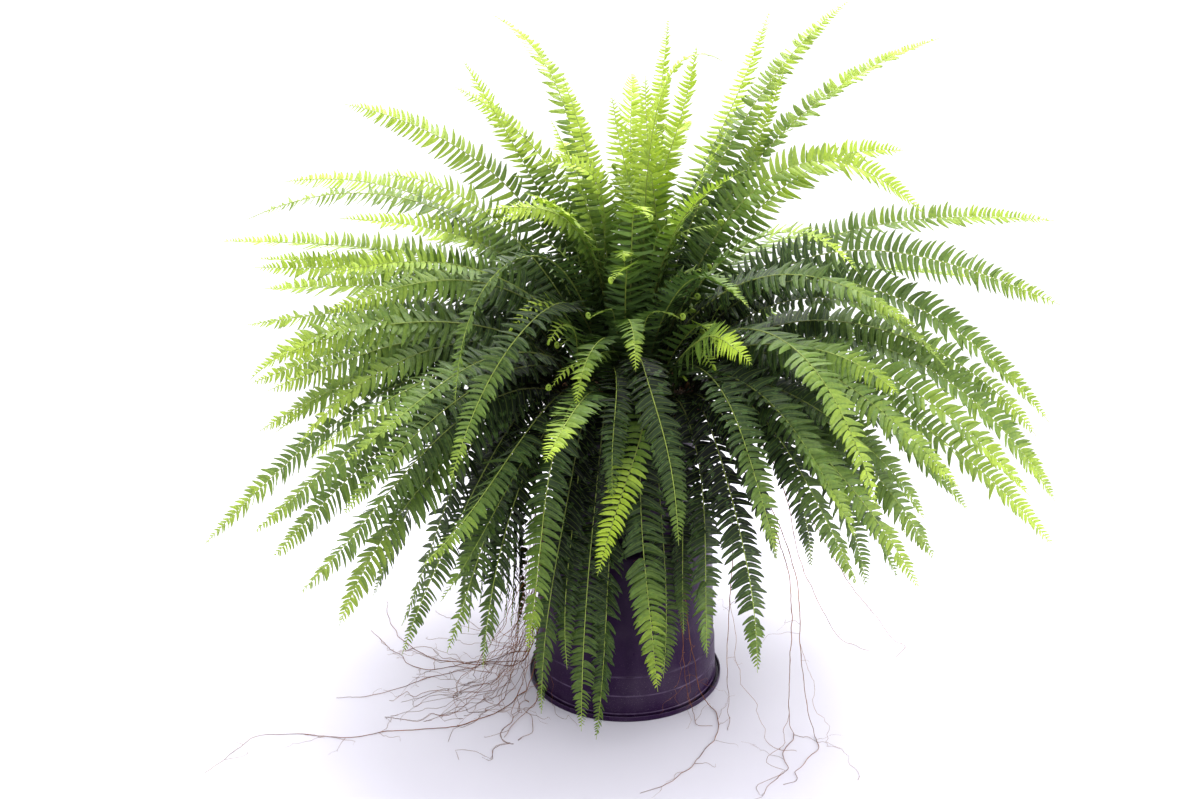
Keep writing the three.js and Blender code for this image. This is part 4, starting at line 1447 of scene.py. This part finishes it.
F = 1.0  # height of a runner's middle on the floor, with a short name for the routes
BUNDLES = [
    Bundle("left_runners", "runners_left", -89, (
        ((-92, 138, 440), (-95, 139, 275), (-102, 148, 80), (-108, 160, 12), (-110, 168, F),
         (-91, 249, F), (-84, 327, F), (-79, 391, F), (-79, 461, F)),
        ((-89, 138, 440), (-91, 140, 275), (-96, 148, 80), (-100, 160, 12), (-99, 168, F),
         (-95, 248, F), (-90, 321, F), (-101, 397, F), (-106, 439, F)),
        ((-86, 138, 440), (-87, 140, 275), (-91, 150, 80), (-92, 165, 12), (-93, 180, F),
         (-97, 320, F), (-107, 396, F), (-119, 471, F)),
    ), roots=14, hanging=9),
    Bundle("front_left_runners", "runners_front_left", -68, (
        ((-68, 138, 440), (-68, 139, 275), (-69, 148, 80), (-69, 160, 12), (-67, 168, F),
         (-57, 248, F), (-58, 316, F), (-63, 384, F), (-65, 465, F), (-69, 524, F),
         (-71, 582, F), (-67, 640, F), (-65, 673, F)),
        ((-66, 138, 440), (-64, 139, 275), (-60, 148, 80), (-57, 160, 12), (-55, 168, F),
         (-50, 210, F), (-43, 268, F)),
    ), roots=15, hanging=8),
    Bundle("front_right_runners", "runners_front_right", 30, (
        ((31, 138, 440), (32, 139, 275), (34, 150, 130), (36, 158, 43), (38, 163, 10),
         (38, 168, F), (34, 195, F), (38, 208, F)),
        ((33, 138, 440), (36, 140, 275), (44, 150, 80), (49, 162, 12), (50, 172, F),
         (44, 205, F), (23, 265, F), (10, 319, F), (3, 336, F)),
    ), roots=10, hanging=0),
    Bundle("right_runners", "runners_right", 46, (
        ((50, 180, 450), (51, 220, 405), (51, 262, 350), (52, 290, 285), (53, 302, 89),
         (54, 305, 12), (54, 309, F), (52, 319, F), (46, 325, F), (38, 367, F), (33, 372, F),
         (30, 386, F)),
        ((52, 180, 450), (53, 222, 405), (53, 266, 350), (53, 298, 285), (54, 319, 118),
         (56, 335, 12), (56, 340, F), (54, 355, F), (41, 374, F), (38, 390, F), (35, 388, F)),
        ((49, 155, 450), (51, 185, 400), (52, 194, 330), (52, 195, 67), (50, 206, 10),
         (46, 218, F), (41, 234, F)),
    ), roots=5, hanging=1),
    Bundle("far_right_runners", "runners_far_right", 80, (
        ((84, 180, 440), (88, 235, 340), (90, 272, 199), (94, 296, 137), (99, 335, 59),
         (102, 368, 8), (102, 378, F), (98, 405, F)),
        ((80, 180, 440), (84, 250, 340), (89, 310, 230), (90, 359, 145), (94, 403, 83),
         (99, 452, 10), (100, 462, F), (97, 460, F), (95, 440, F)),
    ), roots=4, hanging=0),
]


@dataclass
class Runners:
    """The runners: thin brown stolons over the rim, down and along the floor, with fine roots."""

    radius: float = 0.78
    side_root: float = 0.30  # radius of a side root at its start
    hanging_root: float = 0.38
    taut: float = 0.40  # how much of its kinks a runner keeps where its weight pulls it straight
    points: int = 150
    sides: int = 7
    side_root_points: int = 16
    hanging_root_points: int = 40
    root_sides: int = 4
    clear: float = 0.1565  # the nearest that a side root comes to the containers' axis, in metres
    hung: tuple[float, float] = (0.03, 0.34)  # heights between which hanging roots start, in metres
    lip: tuple[float, float] = (0.014, 0.1545)  # height and radius of the lip that they keep off
    wall: tuple[float, float] = (0.1530, 0.057)  # the wall's radius at the floor, less per metre up
    seed: int = 300

    def path(self, bundle: Bundle, route: tuple[Place, ...], seed: int) -> np.ndarray:
        """A runner's middle line through its points, with small kinks.

        Args:
            bundle: the bundle.
            route: its points after the rim.
            seed: which random fields bend it.

        Returns:
            The line's points, in metres.
        """
        rim = POT_BOTTOM + POT_HEIGHT
        turn = route[0][0]
        climb = (
            (bundle.azimuth, FOOT_RADIUS, SOIL_TOP - 4), (bundle.azimuth, FOOT_RADIUS, SOIL_TOP + 2),
            (turn, FOOT_RADIUS + 2, rim + 5), (turn, POT_RIM - 2, rim + 9), (turn, POT_RIM + 7, rim + 3),
        )
        line = evenly(threaded(polar(np.array(climb + route)), 24), self.points)
        free = smooth(np.linspace(0, 1, self.points), 0.10, 0.2) * smooth(line[:, 2], 0.0, 0.03)
        lying = 1 - smooth(line[:, 2], 0.004, 0.02)
        kink = np.stack([waves(line, 0.05, seed + k) for k in (1, 2)], axis=-1)
        fine = np.stack([waves(line, 0.018, seed + k) for k in (3, 4)], axis=-1)
        line[:, :2] += (kink * 0.0030 + fine * 0.0008) * (self.taut * free + lying)[:, None]
        line[:, 2] = np.maximum(line[:, 2], F * MM)
        return line

    def strand(self, line: np.ndarray) -> Surface:
        """A runner's tube along its line, thinning to a third at its tip, with nine slight nodes."""
        share = np.linspace(0, 1, len(line))
        node = 1 + 0.35 * np.exp(-(((share * 9) % 1 - 0.5) / 0.05) ** 2)
        radius = self.radius * MM * (1 - 0.65 * share**1.5) * node
        line = line.copy()
        line[:, 2] = np.maximum(line[:, 2], radius + 0.0001)
        guide = np.linalg.svd(line - line.mean(0), full_matrices=False)[2][-1]
        tone = 0.45 + 0.25 * waves(line, 0.1, 9)
        return tubes(line[None], radius[None], self.sides, guide[None], tone=tone[None])

    def root_tubes(
        self,
        paths: np.ndarray,
        radii: np.ndarray,
        heading: np.ndarray,
        clear: np.ndarray | float,
        tone: np.ndarray,
    ) -> Surface:
        """Roots as tubes, after they are moved out of the containers and off the floor.

        Args:
            paths: their middles, as (root, point, 3).
            radii: their radius at each point.
            heading: the way that each one goes.
            clear: the nearest that a point may come to the containers' axis.
            tone: their tone at each point.

        Returns:
            The roots.
        """
        outside = np.linalg.norm(paths[..., :2], axis=-1, keepdims=True)
        paths[..., :2] *= np.maximum(outside, clear) / np.maximum(outside, 1e-6)
        paths[..., 2] = np.maximum(paths[..., 2], radii + 0.0002)
        guide = unit(np.cross(heading, [0.3, 0.2, 1.0]))
        return tubes(paths, radii, self.root_sides, guide, tone=tone)

    def side_roots(self, line: np.ndarray, count: int, seed: int) -> Surface:
        """Fine roots along a runner: each starts on it, leans out, falls and lies on the floor.

        A root is its start plus a level direction times the way along it, less a fall that grows
        with its square, and it wanders by a smooth random field. Nothing goes below the floor.

        Args:
            line: the runner.
            count: how many roots it has.
            seed: which random numbers they take.

        Returns:
            The roots.
        """
        rng = np.random.default_rng(seed)
        share = rng.uniform(0.28, 0.98, count)
        start = line[(share * (len(line) - 1)).astype(int)]
        length = (rng.gamma(2.2, 0.016, count) + 0.008)[:, None, None]
        heading = unit(rng.normal(size=(count, 3)) * [1, 1, 0.25])
        away = np.linspace(0, 1, self.side_root_points)[None, :, None]
        paths = start[:, None] + length * (heading[:, None] * away + [0, 0, -0.55] * away**2)
        wander = np.stack([waves(paths, 0.024, seed + k) for k in range(3)], axis=-1)
        paths = paths + wander * away * 0.010
        away = away[..., 0]
        radii = (self.side_root * (1 - 0.6 * away) * MM) * rng.uniform(0.6, 1.1, (count, 1))
        return self.root_tubes(paths, radii, heading, self.clear, 0.35 + 0.3 * away)

    def hanging_roots(self, line: np.ndarray, count: int, seed: int) -> Surface:
        """Long fine roots that leave a runner on its way down the container and end on the floor.

        A root goes out level from its start, in about the way that its start stands from the
        container's axis but turned to the front. Its height falls by a power of the way along it
        and reaches the floor at a share of that way; from there it lies. It wanders by two smooth
        random fields, a coarse and a fine one, and stays outside the container's wall and lip.

        Args:
            line: the runner.
            count: how many roots it has.
            seed: which random numbers they take.

        Returns:
            The roots.
        """
        rng = np.random.default_rng(seed)
        low, high = self.hung
        hung = np.flatnonzero((line[:, 2] > low) & (line[:, 2] < high))
        start = line[rng.choice(hung, count)]
        azimuth = np.degrees(np.arctan2(start[:, 0], -start[:, 1])) + rng.normal(10, 32, count)
        heading = compass(azimuth)
        reach = rng.uniform(0.07, 0.25, count)[:, None, None]
        touch = rng.uniform(0.40, 0.85, count)[:, None]
        fall = rng.uniform(0.9, 1.7, count)[:, None]
        away = np.linspace(0, 1, self.hanging_root_points)[None]
        paths = start[:, None] + heading[:, None] * reach * away[..., None] ** 1.2
        paths[..., 2] = start[:, 2:] * (1 - np.minimum(away / touch, 1)) ** fall
        wander = np.stack([
            waves(paths, 0.06, seed + k) * 0.028 + waves(paths, 0.02, seed + 5 + k) * 0.005
            for k in range(2)
        ], axis=-1)
        paths[..., :2] += wander * away[..., None]
        (lip_height, lip), (foot, narrowing) = self.lip, self.wall
        wall = np.where(paths[..., 2:] < lip_height, lip, foot - narrowing * paths[..., 2:])
        radii = self.hanging_root * MM * (1 - 0.5 * away) * rng.uniform(0.7, 1.3, (count, 1))
        return self.root_tubes(paths, radii, heading, wall, 0.30 + 0.45 * rng.random((count, 1)))

    def build(self, finish: bpy.types.Material) -> None:
        """Makes a piece for each bundle of runners.

        Args:
            finish: their material.
        """
        for index, bundle in enumerate(BUNDLES):
            parts = []
            for number, route in enumerate(bundle.routes):
                seed = self.seed + 40 * index + 10 * number
                line = self.path(bundle, route, seed)
                parts.append(self.strand(line))
                parts.append(self.side_roots(line, bundle.roots, seed + 5))
                if bundle.hanging:
                    parts.append(self.hanging_roots(line, bundle.hanging, seed + 7))
            Surface.joined(parts).piece(bundle.name, [finish], Slot.RUNNER, [bundle.node])


# Node trees


class Tree:
    """A node tree that is being filled."""

    def __init__(self, tree: bpy.types.NodeTree) -> None:
        """Takes the tree and empties it."""
        self.tree = tree
        tree.nodes.clear()

    def node(
        self, kind: str, inputs: dict[str | int, object] | None = None, **settings: object
    ) -> bpy.types.Node:
        """Adds a node.

        Args:
            kind: the node's type.
            inputs: a value, or the output socket to link, for each input by name or number.
            settings: the node's own settings.

        Returns:
            The node.
        """
        made = self.tree.nodes.new(kind)
        for name, value in settings.items():
            setattr(made, name, value)
        for name, value in (inputs or {}).items():
            if isinstance(value, Socket):
                self.tree.links.new(value, made.inputs[name])
            else:
                made.inputs[name].default_value = value
        return made

    def math(self, kind: str, *values: object) -> Socket:
        """A Math node's result."""
        return self.node("ShaderNodeMath", dict(enumerate(values)), operation=kind).outputs[0]

    def plus(self, first: object, second: object) -> Socket:
        """A sum."""
        return self.math("ADD", first, second)

    def minus(self, first: object, second: object) -> Socket:
        """A difference."""
        return self.math("SUBTRACT", first, second)

    def times(self, first: object, second: object) -> Socket:
        """A product."""
        return self.math("MULTIPLY", first, second)

    def size(self, value: Socket) -> Socket:
        """A value without its sign."""
        return self.math("ABSOLUTE", value)

    def tone(self) -> Socket:
        """The tone of the surface's corners."""
        return self.node("ShaderNodeAttribute", attribute_name="tone").outputs["Fac"]

    def ramp(self, value: Socket, stops: list[tuple[float, Colour]]) -> Socket:
        """The colour that a value picks from stops, each a place and a colour."""
        node = self.node("ShaderNodeValToRGB", {"Fac": value})
        elements = node.color_ramp.elements
        while len(elements) < len(stops):
            elements.new(0.5)
        for element, (place, colour) in zip(elements, stops):
            element.position = place
            element.color = (*colour, 1.0)
        return node.outputs["Color"]

    def span(
        self, value: Socket, low: float, high: float, first: float = 0.0, last: float = 1.0
    ) -> Socket:
        """A value taken smoothly from one range to another."""
        node = self.node(
            "ShaderNodeMapRange",
            {"Value": value, "From Min": low, "From Max": high, "To Min": first, "To Max": last},
            interpolation_type="SMOOTHSTEP",
        )
        return node.outputs[0]

    def mix(self, share: object, first: object, second: object, blend: str = "MIX") -> Socket:
        """Two colours mixed. A colour node has its share at input 0 and its colours at 6 and 7."""
        first, second = (
            value if isinstance(value, Socket) else (*value, 1.0) for value in (first, second)
        )
        inputs = {0: share, 6: first, 7: second}
        return self.node("ShaderNodeMix", inputs, data_type="RGBA", blend_type=blend).outputs[2]

    def bump(self, height: Socket, strength: float, distance: float) -> Socket:
        """The normal of a fine relief: its height from 0 to 1, and what 1 is in metres."""
        inputs = {"Height": height, "Strength": strength, "Distance": distance}
        return self.node("ShaderNodeBump", inputs).outputs[0]

    def skin(self, colour: object, rough: object, normal: Socket, specular: float = 0.5) -> Socket:
        """A principled surface."""
        return self.node("ShaderNodeBsdfPrincipled", {
            "Base Color": colour, "Roughness": rough, "Normal": normal,
            "Specular IOR Level": specular,
        }).outputs[0]


def effect(
    name: str, takes: dict[str, tuple[str, object]], gives: dict[str, str]
) -> tuple[Tree, bpy.types.Node]:
    """An empty node group for an effect that materials share.

    Args:
        name: its name.
        takes: the socket type and the value of each input.
        gives: the socket type of each output.

    Returns:
        The tree, with the node of its inputs.
    """
    group = bpy.data.node_groups.new(name, "ShaderNodeTree")
    for label, (kind, value) in takes.items():
        socket = group.interface.new_socket(label, in_out="INPUT", socket_type=kind)
        if value is not None:
            socket.default_value = value
    for label, kind in gives.items():
        group.interface.new_socket(label, in_out="OUTPUT", socket_type=kind)
    tree = Tree(group)
    return tree, tree.node("NodeGroupInput")


VALUE, VECTOR = "NodeSocketFloat", "NodeSocketVector"


def mottle_effect() -> bpy.types.NodeTree:
    """Soft patches: a noise of the place, spread between two values."""
    takes = {"Place": (VECTOR, None), "Scale": (VALUE, 20.0), "Low": (VALUE, 0.0), "High": (VALUE, 1.0)}
    tree, given = effect("mottle", takes, {"Value": VALUE})
    noise = tree.node("ShaderNodeTexNoise", {
        "Vector": given.outputs["Place"], "Scale": given.outputs["Scale"], "Detail": 3.0,
    })
    spread = tree.node("ShaderNodeMapRange", {
        "Value": noise.outputs[0], "From Min": 0.3, "From Max": 0.7,
        "To Min": given.outputs["Low"], "To Max": given.outputs["High"],
    })
    tree.node("NodeGroupOutput", {"Value": spread.outputs[0]})
    return tree.tree


def blade_effect() -> bpy.types.NodeTree:
    """A leaflet's marks from its UV: its midrib, its side veins and its lower face.

    The distance from the midrib is twice that of V's fraction from a half. Side veins are where a
    sawtooth of 15 U less 1.3 times that distance comes near its turn.
    """
    gives = {"Midrib": VALUE, "Veins": VALUE, "Under": VALUE}
    tree, given = effect("blade_marks", {"Place": (VECTOR, None)}, gives)
    way, round_it, _ = tree.node("ShaderNodeSeparateXYZ", {0: given.outputs["Place"]}).outputs
    across = tree.minus(tree.math("FRACT", round_it), 0.5)
    away = tree.times(tree.size(across), 2.0)
    lean = tree.minus(tree.times(way, 15.0), tree.times(away, 1.3))
    saw = tree.size(tree.minus(tree.math("FRACT", lean), 0.5))
    tree.node("NodeGroupOutput", {
        "Midrib": tree.span(away, 0.05, 0.17, 1.0, 0.0),
        "Veins": tree.span(saw, 0.0, 0.2, 1.0, 0.0),
        "Under": tree.math("GREATER_THAN", round_it, 1.0),
    })
    return tree.tree


@dataclass
class Effects:
    """The node groups that the finishes share."""

    mottle: bpy.types.NodeTree = field(default_factory=mottle_effect)
    blade: bpy.types.NodeTree = field(default_factory=blade_effect)

    def patches(self, tree: Tree, place: Socket, scale: float, low: float, high: float) -> Socket:
        """Soft patches of a scale, between two values."""
        inputs = {"Place": place, "Scale": scale, "Low": low, "High": high}
        return tree.node("ShaderNodeGroup", inputs, node_tree=self.mottle).outputs[0]

    def marks(self, tree: Tree, place: Socket) -> bpy.types.Node:
        """A leaflet's marks."""
        return tree.node("ShaderNodeGroup", {"Place": place}, node_tree=self.blade)


# Finishes


def started(name: str) -> tuple[bpy.types.Material, Tree, Socket]:
    """A new material, its tree and its object coordinates."""
    material = bpy.data.materials.new(name)
    material.use_nodes = True
    tree = Tree(material.node_tree)
    return material, tree, tree.node("ShaderNodeTexCoord").outputs["Object"]


def finished(material: bpy.types.Material, tree: Tree, shader: Socket) -> bpy.types.Material:
    """The material, after a shader is linked to its output."""
    tree.node("ShaderNodeOutputMaterial", {"Surface": shader})
    return material


@dataclass(frozen=True)
class LeafFinish:
    """Living leaflets: four greens by tone, paler below, lit through."""

    deep: Colour = (0.009, 0.014, 0.010)
    middle: Colour = (0.064, 0.112, 0.034)
    bright: Colour = (0.220, 0.330, 0.070)
    lime: Colour = (0.560, 0.700, 0.100)
    midrib: Colour = (0.30, 0.40, 0.06)
    vein: Colour = (0.03, 0.07, 0.008)
    under: Colour = (0.20, 0.36, 0.10)
    glow: Colour = (1.25, 1.15, 0.70)  # what the light that comes through is multiplied by
    through: float = 0.46

    def make(self, effects: Effects) -> bpy.types.Material:
        """Builds the material."""
        material, tree, place = started("leaflet")
        marks = effects.marks(tree, tree.node("ShaderNodeUVMap", uv_map="Blade").outputs[0])
        midrib, veins, under = marks.outputs
        broad = effects.patches(tree, place, 16.0, -0.07, 0.07)
        fine = effects.patches(tree, place, 240.0, -0.05, 0.05)
        # The tone, with its painted light and shade, picks the green.
        shade = tree.plus(tree.tone(), tree.plus(broad, fine))
        stops = [(0.0, self.deep), (0.38, self.middle), (0.68, self.bright), (1.0, self.lime)]
        lit = tree.mix(tree.times(midrib, 0.35), tree.ramp(shade, stops), self.midrib)
        veined = tree.mix(tree.times(veins, 0.16), lit, self.vein)
        face = tree.mix(tree.times(under, 0.35), veined, self.under)
        height = tree.plus(veins, tree.times(midrib, -1.4))
        normal = tree.bump(height, 0.35, 0.0004)
        skin = tree.skin(face, effects.patches(tree, place, 90.0, 0.34, 0.50), normal)
        glow = tree.mix(1.0, face, self.glow, "MULTIPLY")
        through = tree.node("ShaderNodeBsdfTranslucent", {"Color": glow, "Normal": normal}).outputs[0]
        both = tree.node("ShaderNodeMixShader", {0: self.through, 1: skin, 2: through})
        return finished(material, tree, both.outputs[0])


@dataclass(frozen=True)
class RibFinish:
    """Ribs: brown at the foot, green and then pale yellow-green towards the tip."""

    foot: Colour = (0.050, 0.028, 0.012)
    middle: Colour = (0.110, 0.130, 0.028)
    end: Colour = (0.300, 0.380, 0.070)

    def make(self, effects: Effects) -> bpy.types.Material:
        """Builds the material."""
        material, tree, place = started("rib")
        shade = tree.plus(tree.tone(), effects.patches(tree, place, 60.0, -0.06, 0.06))
        colour = tree.ramp(shade, [(0.02, self.foot), (0.26, self.middle), (0.8, self.end)])
        normal = tree.bump(effects.patches(tree, place, 700.0, 0.0, 1.0), 0.3, 0.0003)
        return finished(material, tree, tree.skin(colour, 0.5, normal))


@dataclass(frozen=True)
class ScaleFinish:
    """Crowns: dry brown scales in the light and dark of old straw."""

    dark: Colour = (0.028, 0.014, 0.007)
    light: Colour = (0.190, 0.098, 0.036)

    def make(self, effects: Effects) -> bpy.types.Material:
        """Builds the material."""
        material, tree, place = started("crown_scales")
        flakes = tree.node("ShaderNodeTexVoronoi", {"Vector": place, "Scale": 420.0}).outputs["Distance"]
        shade = tree.plus(flakes, effects.patches(tree, place, 80.0, -0.2, 0.3))
        colour = tree.ramp(shade, [(0.05, self.dark), (0.8, self.light)])
        return finished(material, tree, tree.skin(colour, 0.85, tree.bump(flakes, 0.8, 0.001)))


@dataclass(frozen=True)
class PlasticFinish:
    """Blow-moulded container plastic: nearly black purple, satin, with scuffs, dust and painted highlights
    along the stacking steps' edges.
    """

    body: Colour = (0.018, 0.004, 0.030)
    worn: Colour = (0.034, 0.013, 0.050)
    dust: Colour = (0.20, 0.17, 0.20)
    # Painted highlight lines run at these heights, along the stacking steps' edges.
    edges: tuple[float, ...] = (0.0712, 0.0392, 0.0092)  # heights of the stacking steps' edges
    step_highlight: Colour = (0.135, 0.100, 0.165)

    def make(self, effects: Effects) -> bpy.types.Material:
        """Builds the material."""
        material, tree, place = started("container_plastic")
        drawn = tree.node("ShaderNodeMapping", {"Vector": place, "Scale": (1.0, 1.0, 0.12)}).outputs[0]
        rubbed = effects.patches(tree, drawn, 42.0, 0.0, 1.0)
        dusty = effects.patches(tree, place, 13.0, -0.5, 0.55)
        speck = tree.span(effects.patches(tree, place, 900.0, 0.0, 1.0), 0.80, 1.0)
        colour = tree.mix(tree.times(rubbed, 0.5), self.body, self.worn)
        dust = tree.times(tree.math("MAXIMUM", dusty, 0.0), 0.22)
        level = tree.node("ShaderNodeSeparateXYZ", {0: place}).outputs[2]
        low = tree.span(level, 0.02, 0.16, 0.42, 0.06)
        colour = tree.mix(tree.plus(dust, tree.times(speck, low)), colour, self.dust)
        # Painted highlights: pale lines at the steps' edges, where their ledges catch the light, broken up
        # by the rubbed pattern.
        for edge in self.edges:
            away = tree.size(tree.minus(level, edge))
            near = tree.times(tree.span(away, 0.0002, 0.0017, 0.75, 0.0), rubbed)
            colour = tree.mix(near, colour, self.step_highlight)
        peel = effects.patches(tree, place, 260.0, 0.0, 1.0)
        normal = tree.bump(tree.plus(peel, tree.times(rubbed, 0.6)), 0.25, 0.0005)
        rough = tree.plus(effects.patches(tree, drawn, 30.0, 0.24, 0.38), dust)
        return finished(material, tree, tree.skin(colour, rough, normal, specular=0.20))


@dataclass(frozen=True)
class MixFinish:
    """Potting mix: damp dark peat, brown where it is dry, with a few pale grains."""

    wet: Colour = (0.012, 0.007, 0.004)
    dry: Colour = (0.085, 0.048, 0.024)
    grain: Colour = (0.55, 0.53, 0.48)

    def make(self, effects: Effects) -> bpy.types.Material:
        """Builds the material."""
        material, tree, place = started("potting_mix")
        crumbs, pale = (
            tree.node("ShaderNodeTexVoronoi", {"Vector": place, "Scale": scale}).outputs["Distance"]
            for scale in (330.0, 190.0)
        )
        shade = tree.plus(crumbs, effects.patches(tree, place, 45.0, -0.3, 0.3))
        white = tree.times(tree.math("GREATER_THAN", 0.13, pale), 0.7)
        colour = tree.mix(white, tree.ramp(shade, [(0.1, self.wet), (0.8, self.dry)]), self.grain)
        height = tree.plus(crumbs, effects.patches(tree, place, 900.0, 0.0, 0.5))
        return finished(material, tree, tree.skin(colour, 0.95, tree.bump(height, 1.0, 0.002)))


@dataclass(frozen=True)
class StolonFinish:
    """Runners and roots: dry tan to red-brown by tone, with a fine grain."""

    dark: Colour = (0.080, 0.024, 0.008)
    light: Colour = (0.340, 0.130, 0.040)

    def make(self, effects: Effects) -> bpy.types.Material:
        """Builds the material."""
        material, tree, place = started("stolon")
        shade = tree.plus(tree.tone(), effects.patches(tree, place, 120.0, -0.25, 0.25))
        colour = tree.ramp(shade, [(0.05, self.dark), (0.95, self.light)])
        normal = tree.bump(effects.patches(tree, place, 1500.0, 0.0, 1.0), 0.5, 0.0003)
        return finished(material, tree, tree.skin(colour, 0.7, normal))


@dataclass(frozen=True)
class FloorFinish:
    """The plain floor: pale, with the faintest lilac, and lost in white light further out."""

    colour: Colour = (0.64, 0.615, 0.69)
    near: float = 0.50  # distance from the middle, in metres, at which the white light begins
    far: float = 1.05  # distance at which nothing else is left
    glow: float = 1.06

    def make(self) -> bpy.types.Material:
        """Builds the material."""
        material, tree, place = started("floor")
        skin = tree.node("ShaderNodeBsdfPrincipled", {"Base Color": (*self.colour, 1.0), "Roughness": 0.9})
        white = tree.node("ShaderNodeEmission", {"Strength": self.glow})
        away = tree.node("ShaderNodeVectorMath", {0: place}, operation="LENGTH").outputs["Value"]
        lost = tree.span(away, self.near, self.far)
        both = tree.node("ShaderNodeMixShader", {0: lost, 1: skin.outputs[0], 2: white.outputs[0]})
        return finished(material, tree, both.outputs[0])


# Studio


@dataclass
class Studio:
    """The floor, the lights, the camera and its halo, with places in metres from the pots' axis."""

    floor_half: float = 6.0
    sky: Colour = (0.97, 0.98, 1.0)
    bright_side: Place = (0.0, 0.70, 0.71)
    dim: float = 1.04
    bright: float = 1.25
    eye: Place = (-0.040, -2.320, 1.400)
    tilt: float = 68.1  # of the camera, in degrees from straight down
    lens: float = 50.0  # on a sensor 36 mm wide
    spill: float = 0.16  # how much of the halo is added

    def floor(self) -> None:
        """Makes the floor, a level square."""
        mesh = bpy.data.meshes.new("floor")
        corners = np.array([[-1, -1, 0], [1, -1, 0], [1, 1, 0], [-1, 1, 0]]) * self.floor_half
        mesh.from_pydata(corners, [], [(0, 1, 2, 3)])
        mesh.materials.append(FloorFinish().make())
        made = placed("floor", mesh)

    def area(self, name: str, place: Place, aim: Place, size: float, power: float) -> None:
        """A white square soft light that points at a place.

        Args:
            name: its name.
            place: where it hangs.
            aim: where it points.
            size: its side.
            power: its power in watts.
        """
        light = bpy.data.lights.new(name, "AREA")
        light.shape, light.size, light.energy = "SQUARE", size, power
        made = placed(name, light)
        made.location = AXIS + place
        turn = Vector(place) - Vector(aim)
        made.rotation_euler = turn.to_track_quat("Z", "Y").to_euler()

    def lights(self) -> None:
        """Sets the white surroundings, brighter above and behind, and the soft lights."""
        world = bpy.data.worlds.new("studio")
        world.use_nodes = True
        tree = Tree(world.node_tree)
        ray = tree.node("ShaderNodeTexCoord").outputs["Generated"]
        toward = tree.node("ShaderNodeVectorMath", {0: ray, 1: self.bright_side}, operation="DOT_PRODUCT")
        strength = tree.span(toward.outputs["Value"], -1.0, 0.6, self.dim, self.bright)
        light = tree.node("ShaderNodeBackground", {"Color": (*self.sky, 1.0), "Strength": strength})
        tree.node("ShaderNodeOutputWorld", {"Surface": light.outputs[0]})
        scene = bpy.context.scene
        scene.world = world
        self.area("top_back", place=(0.2, 1.3, 2.7), aim=(0, 0, 0.7), size=2.4, power=110.0)
        self.area("front", place=(-1.4, -2.2, 2.3), aim=(0, 0, 0.5), size=2.0, power=16.0)
        self.area("right", place=(1.7, -0.5, 0.55), aim=(0, 0, 0.25), size=0.9, power=16.0)
        scene.view_settings.view_transform = "Standard"
        scene.view_settings.look = "Medium High Contrast"

    def camera(self) -> None:
        """Makes the camera, which looks 21.9 degrees down from before the plant."""
        lens = bpy.data.cameras.new("camera")
        lens.lens, lens.sensor_width, lens.clip_end = self.lens, 36.0, 60.0
        made = placed("camera", lens)
        made.location = AXIS + self.eye
        made.rotation_euler = (math.radians(self.tilt), 0, 0)
        bpy.context.scene.camera = made

    def halo(self) -> None:
        """Lets the white surroundings spill a little over the plant's edges, as in a lens."""
        scene = bpy.context.scene
        scene.use_nodes = True
        tree = Tree(scene.node_tree)
        view = tree.node("CompositorNodeRLayers")
        bloom = tree.node("CompositorNodeGlare", {
            "Image": view.outputs["Image"], "Threshold": 0.9, "Strength": self.spill, "Size": 0.6,
        }, glare_type="BLOOM")
        tree.node("CompositorNodeComposite", {"Image": bloom.outputs["Image"]})

    def build(self) -> None:
        """Makes the floor, the lights, the camera and the halo."""
        self.floor()
        self.lights()
        self.camera()
        self.halo()


def main() -> None:
    """Builds the fern piece by piece."""
    logging.basicConfig(level=logging.INFO, format="%(message)s")
    Studio().build()
    effects = Effects()
    plastic = PlasticFinish().make(effects)
    stand = Container(
        "stand_container", "stand_pot", STAND_HEIGHT, rim_radius=152.5, base_radius=133.2, corner=5,
        wall=2.2, floor=2.6, lip_drop=8.5, lip_wall=2.2, channel=5,
        steps=((72, 1.8), (40, 0.5), (10, 0.8)),
        dents=(Dent(-27, 103, 17, 3.5, -1.6), Dent(4, 107, 9, 2.5, -0.9)), wobble=0.35, slot_columns=3,
    )
    pot = Container(
        "fern_container", "grow_pot", POT_HEIGHT, rim_radius=POT_RIM, base_radius=95, corner=6,
        wall=2, floor=2.5, lip_drop=11, lip_wall=2.2, channel=3, steps=((54, 1.8),),
    )
    stand.build(plastic, 0.0, upturned=True)
    pot.build(plastic, POT_BOTTOM)
    PottingMix().build(pot, MixFinish().make(effects))
    greens = [LeafFinish().make(effects), RibFinish().make(effects), ScaleFinish().make(effects)]
    Foliage().build(greens)
    SmallFronds().build(greens)
    Runners().build(StolonFinish().make(effects))


if __name__ == "__main__":
    main()
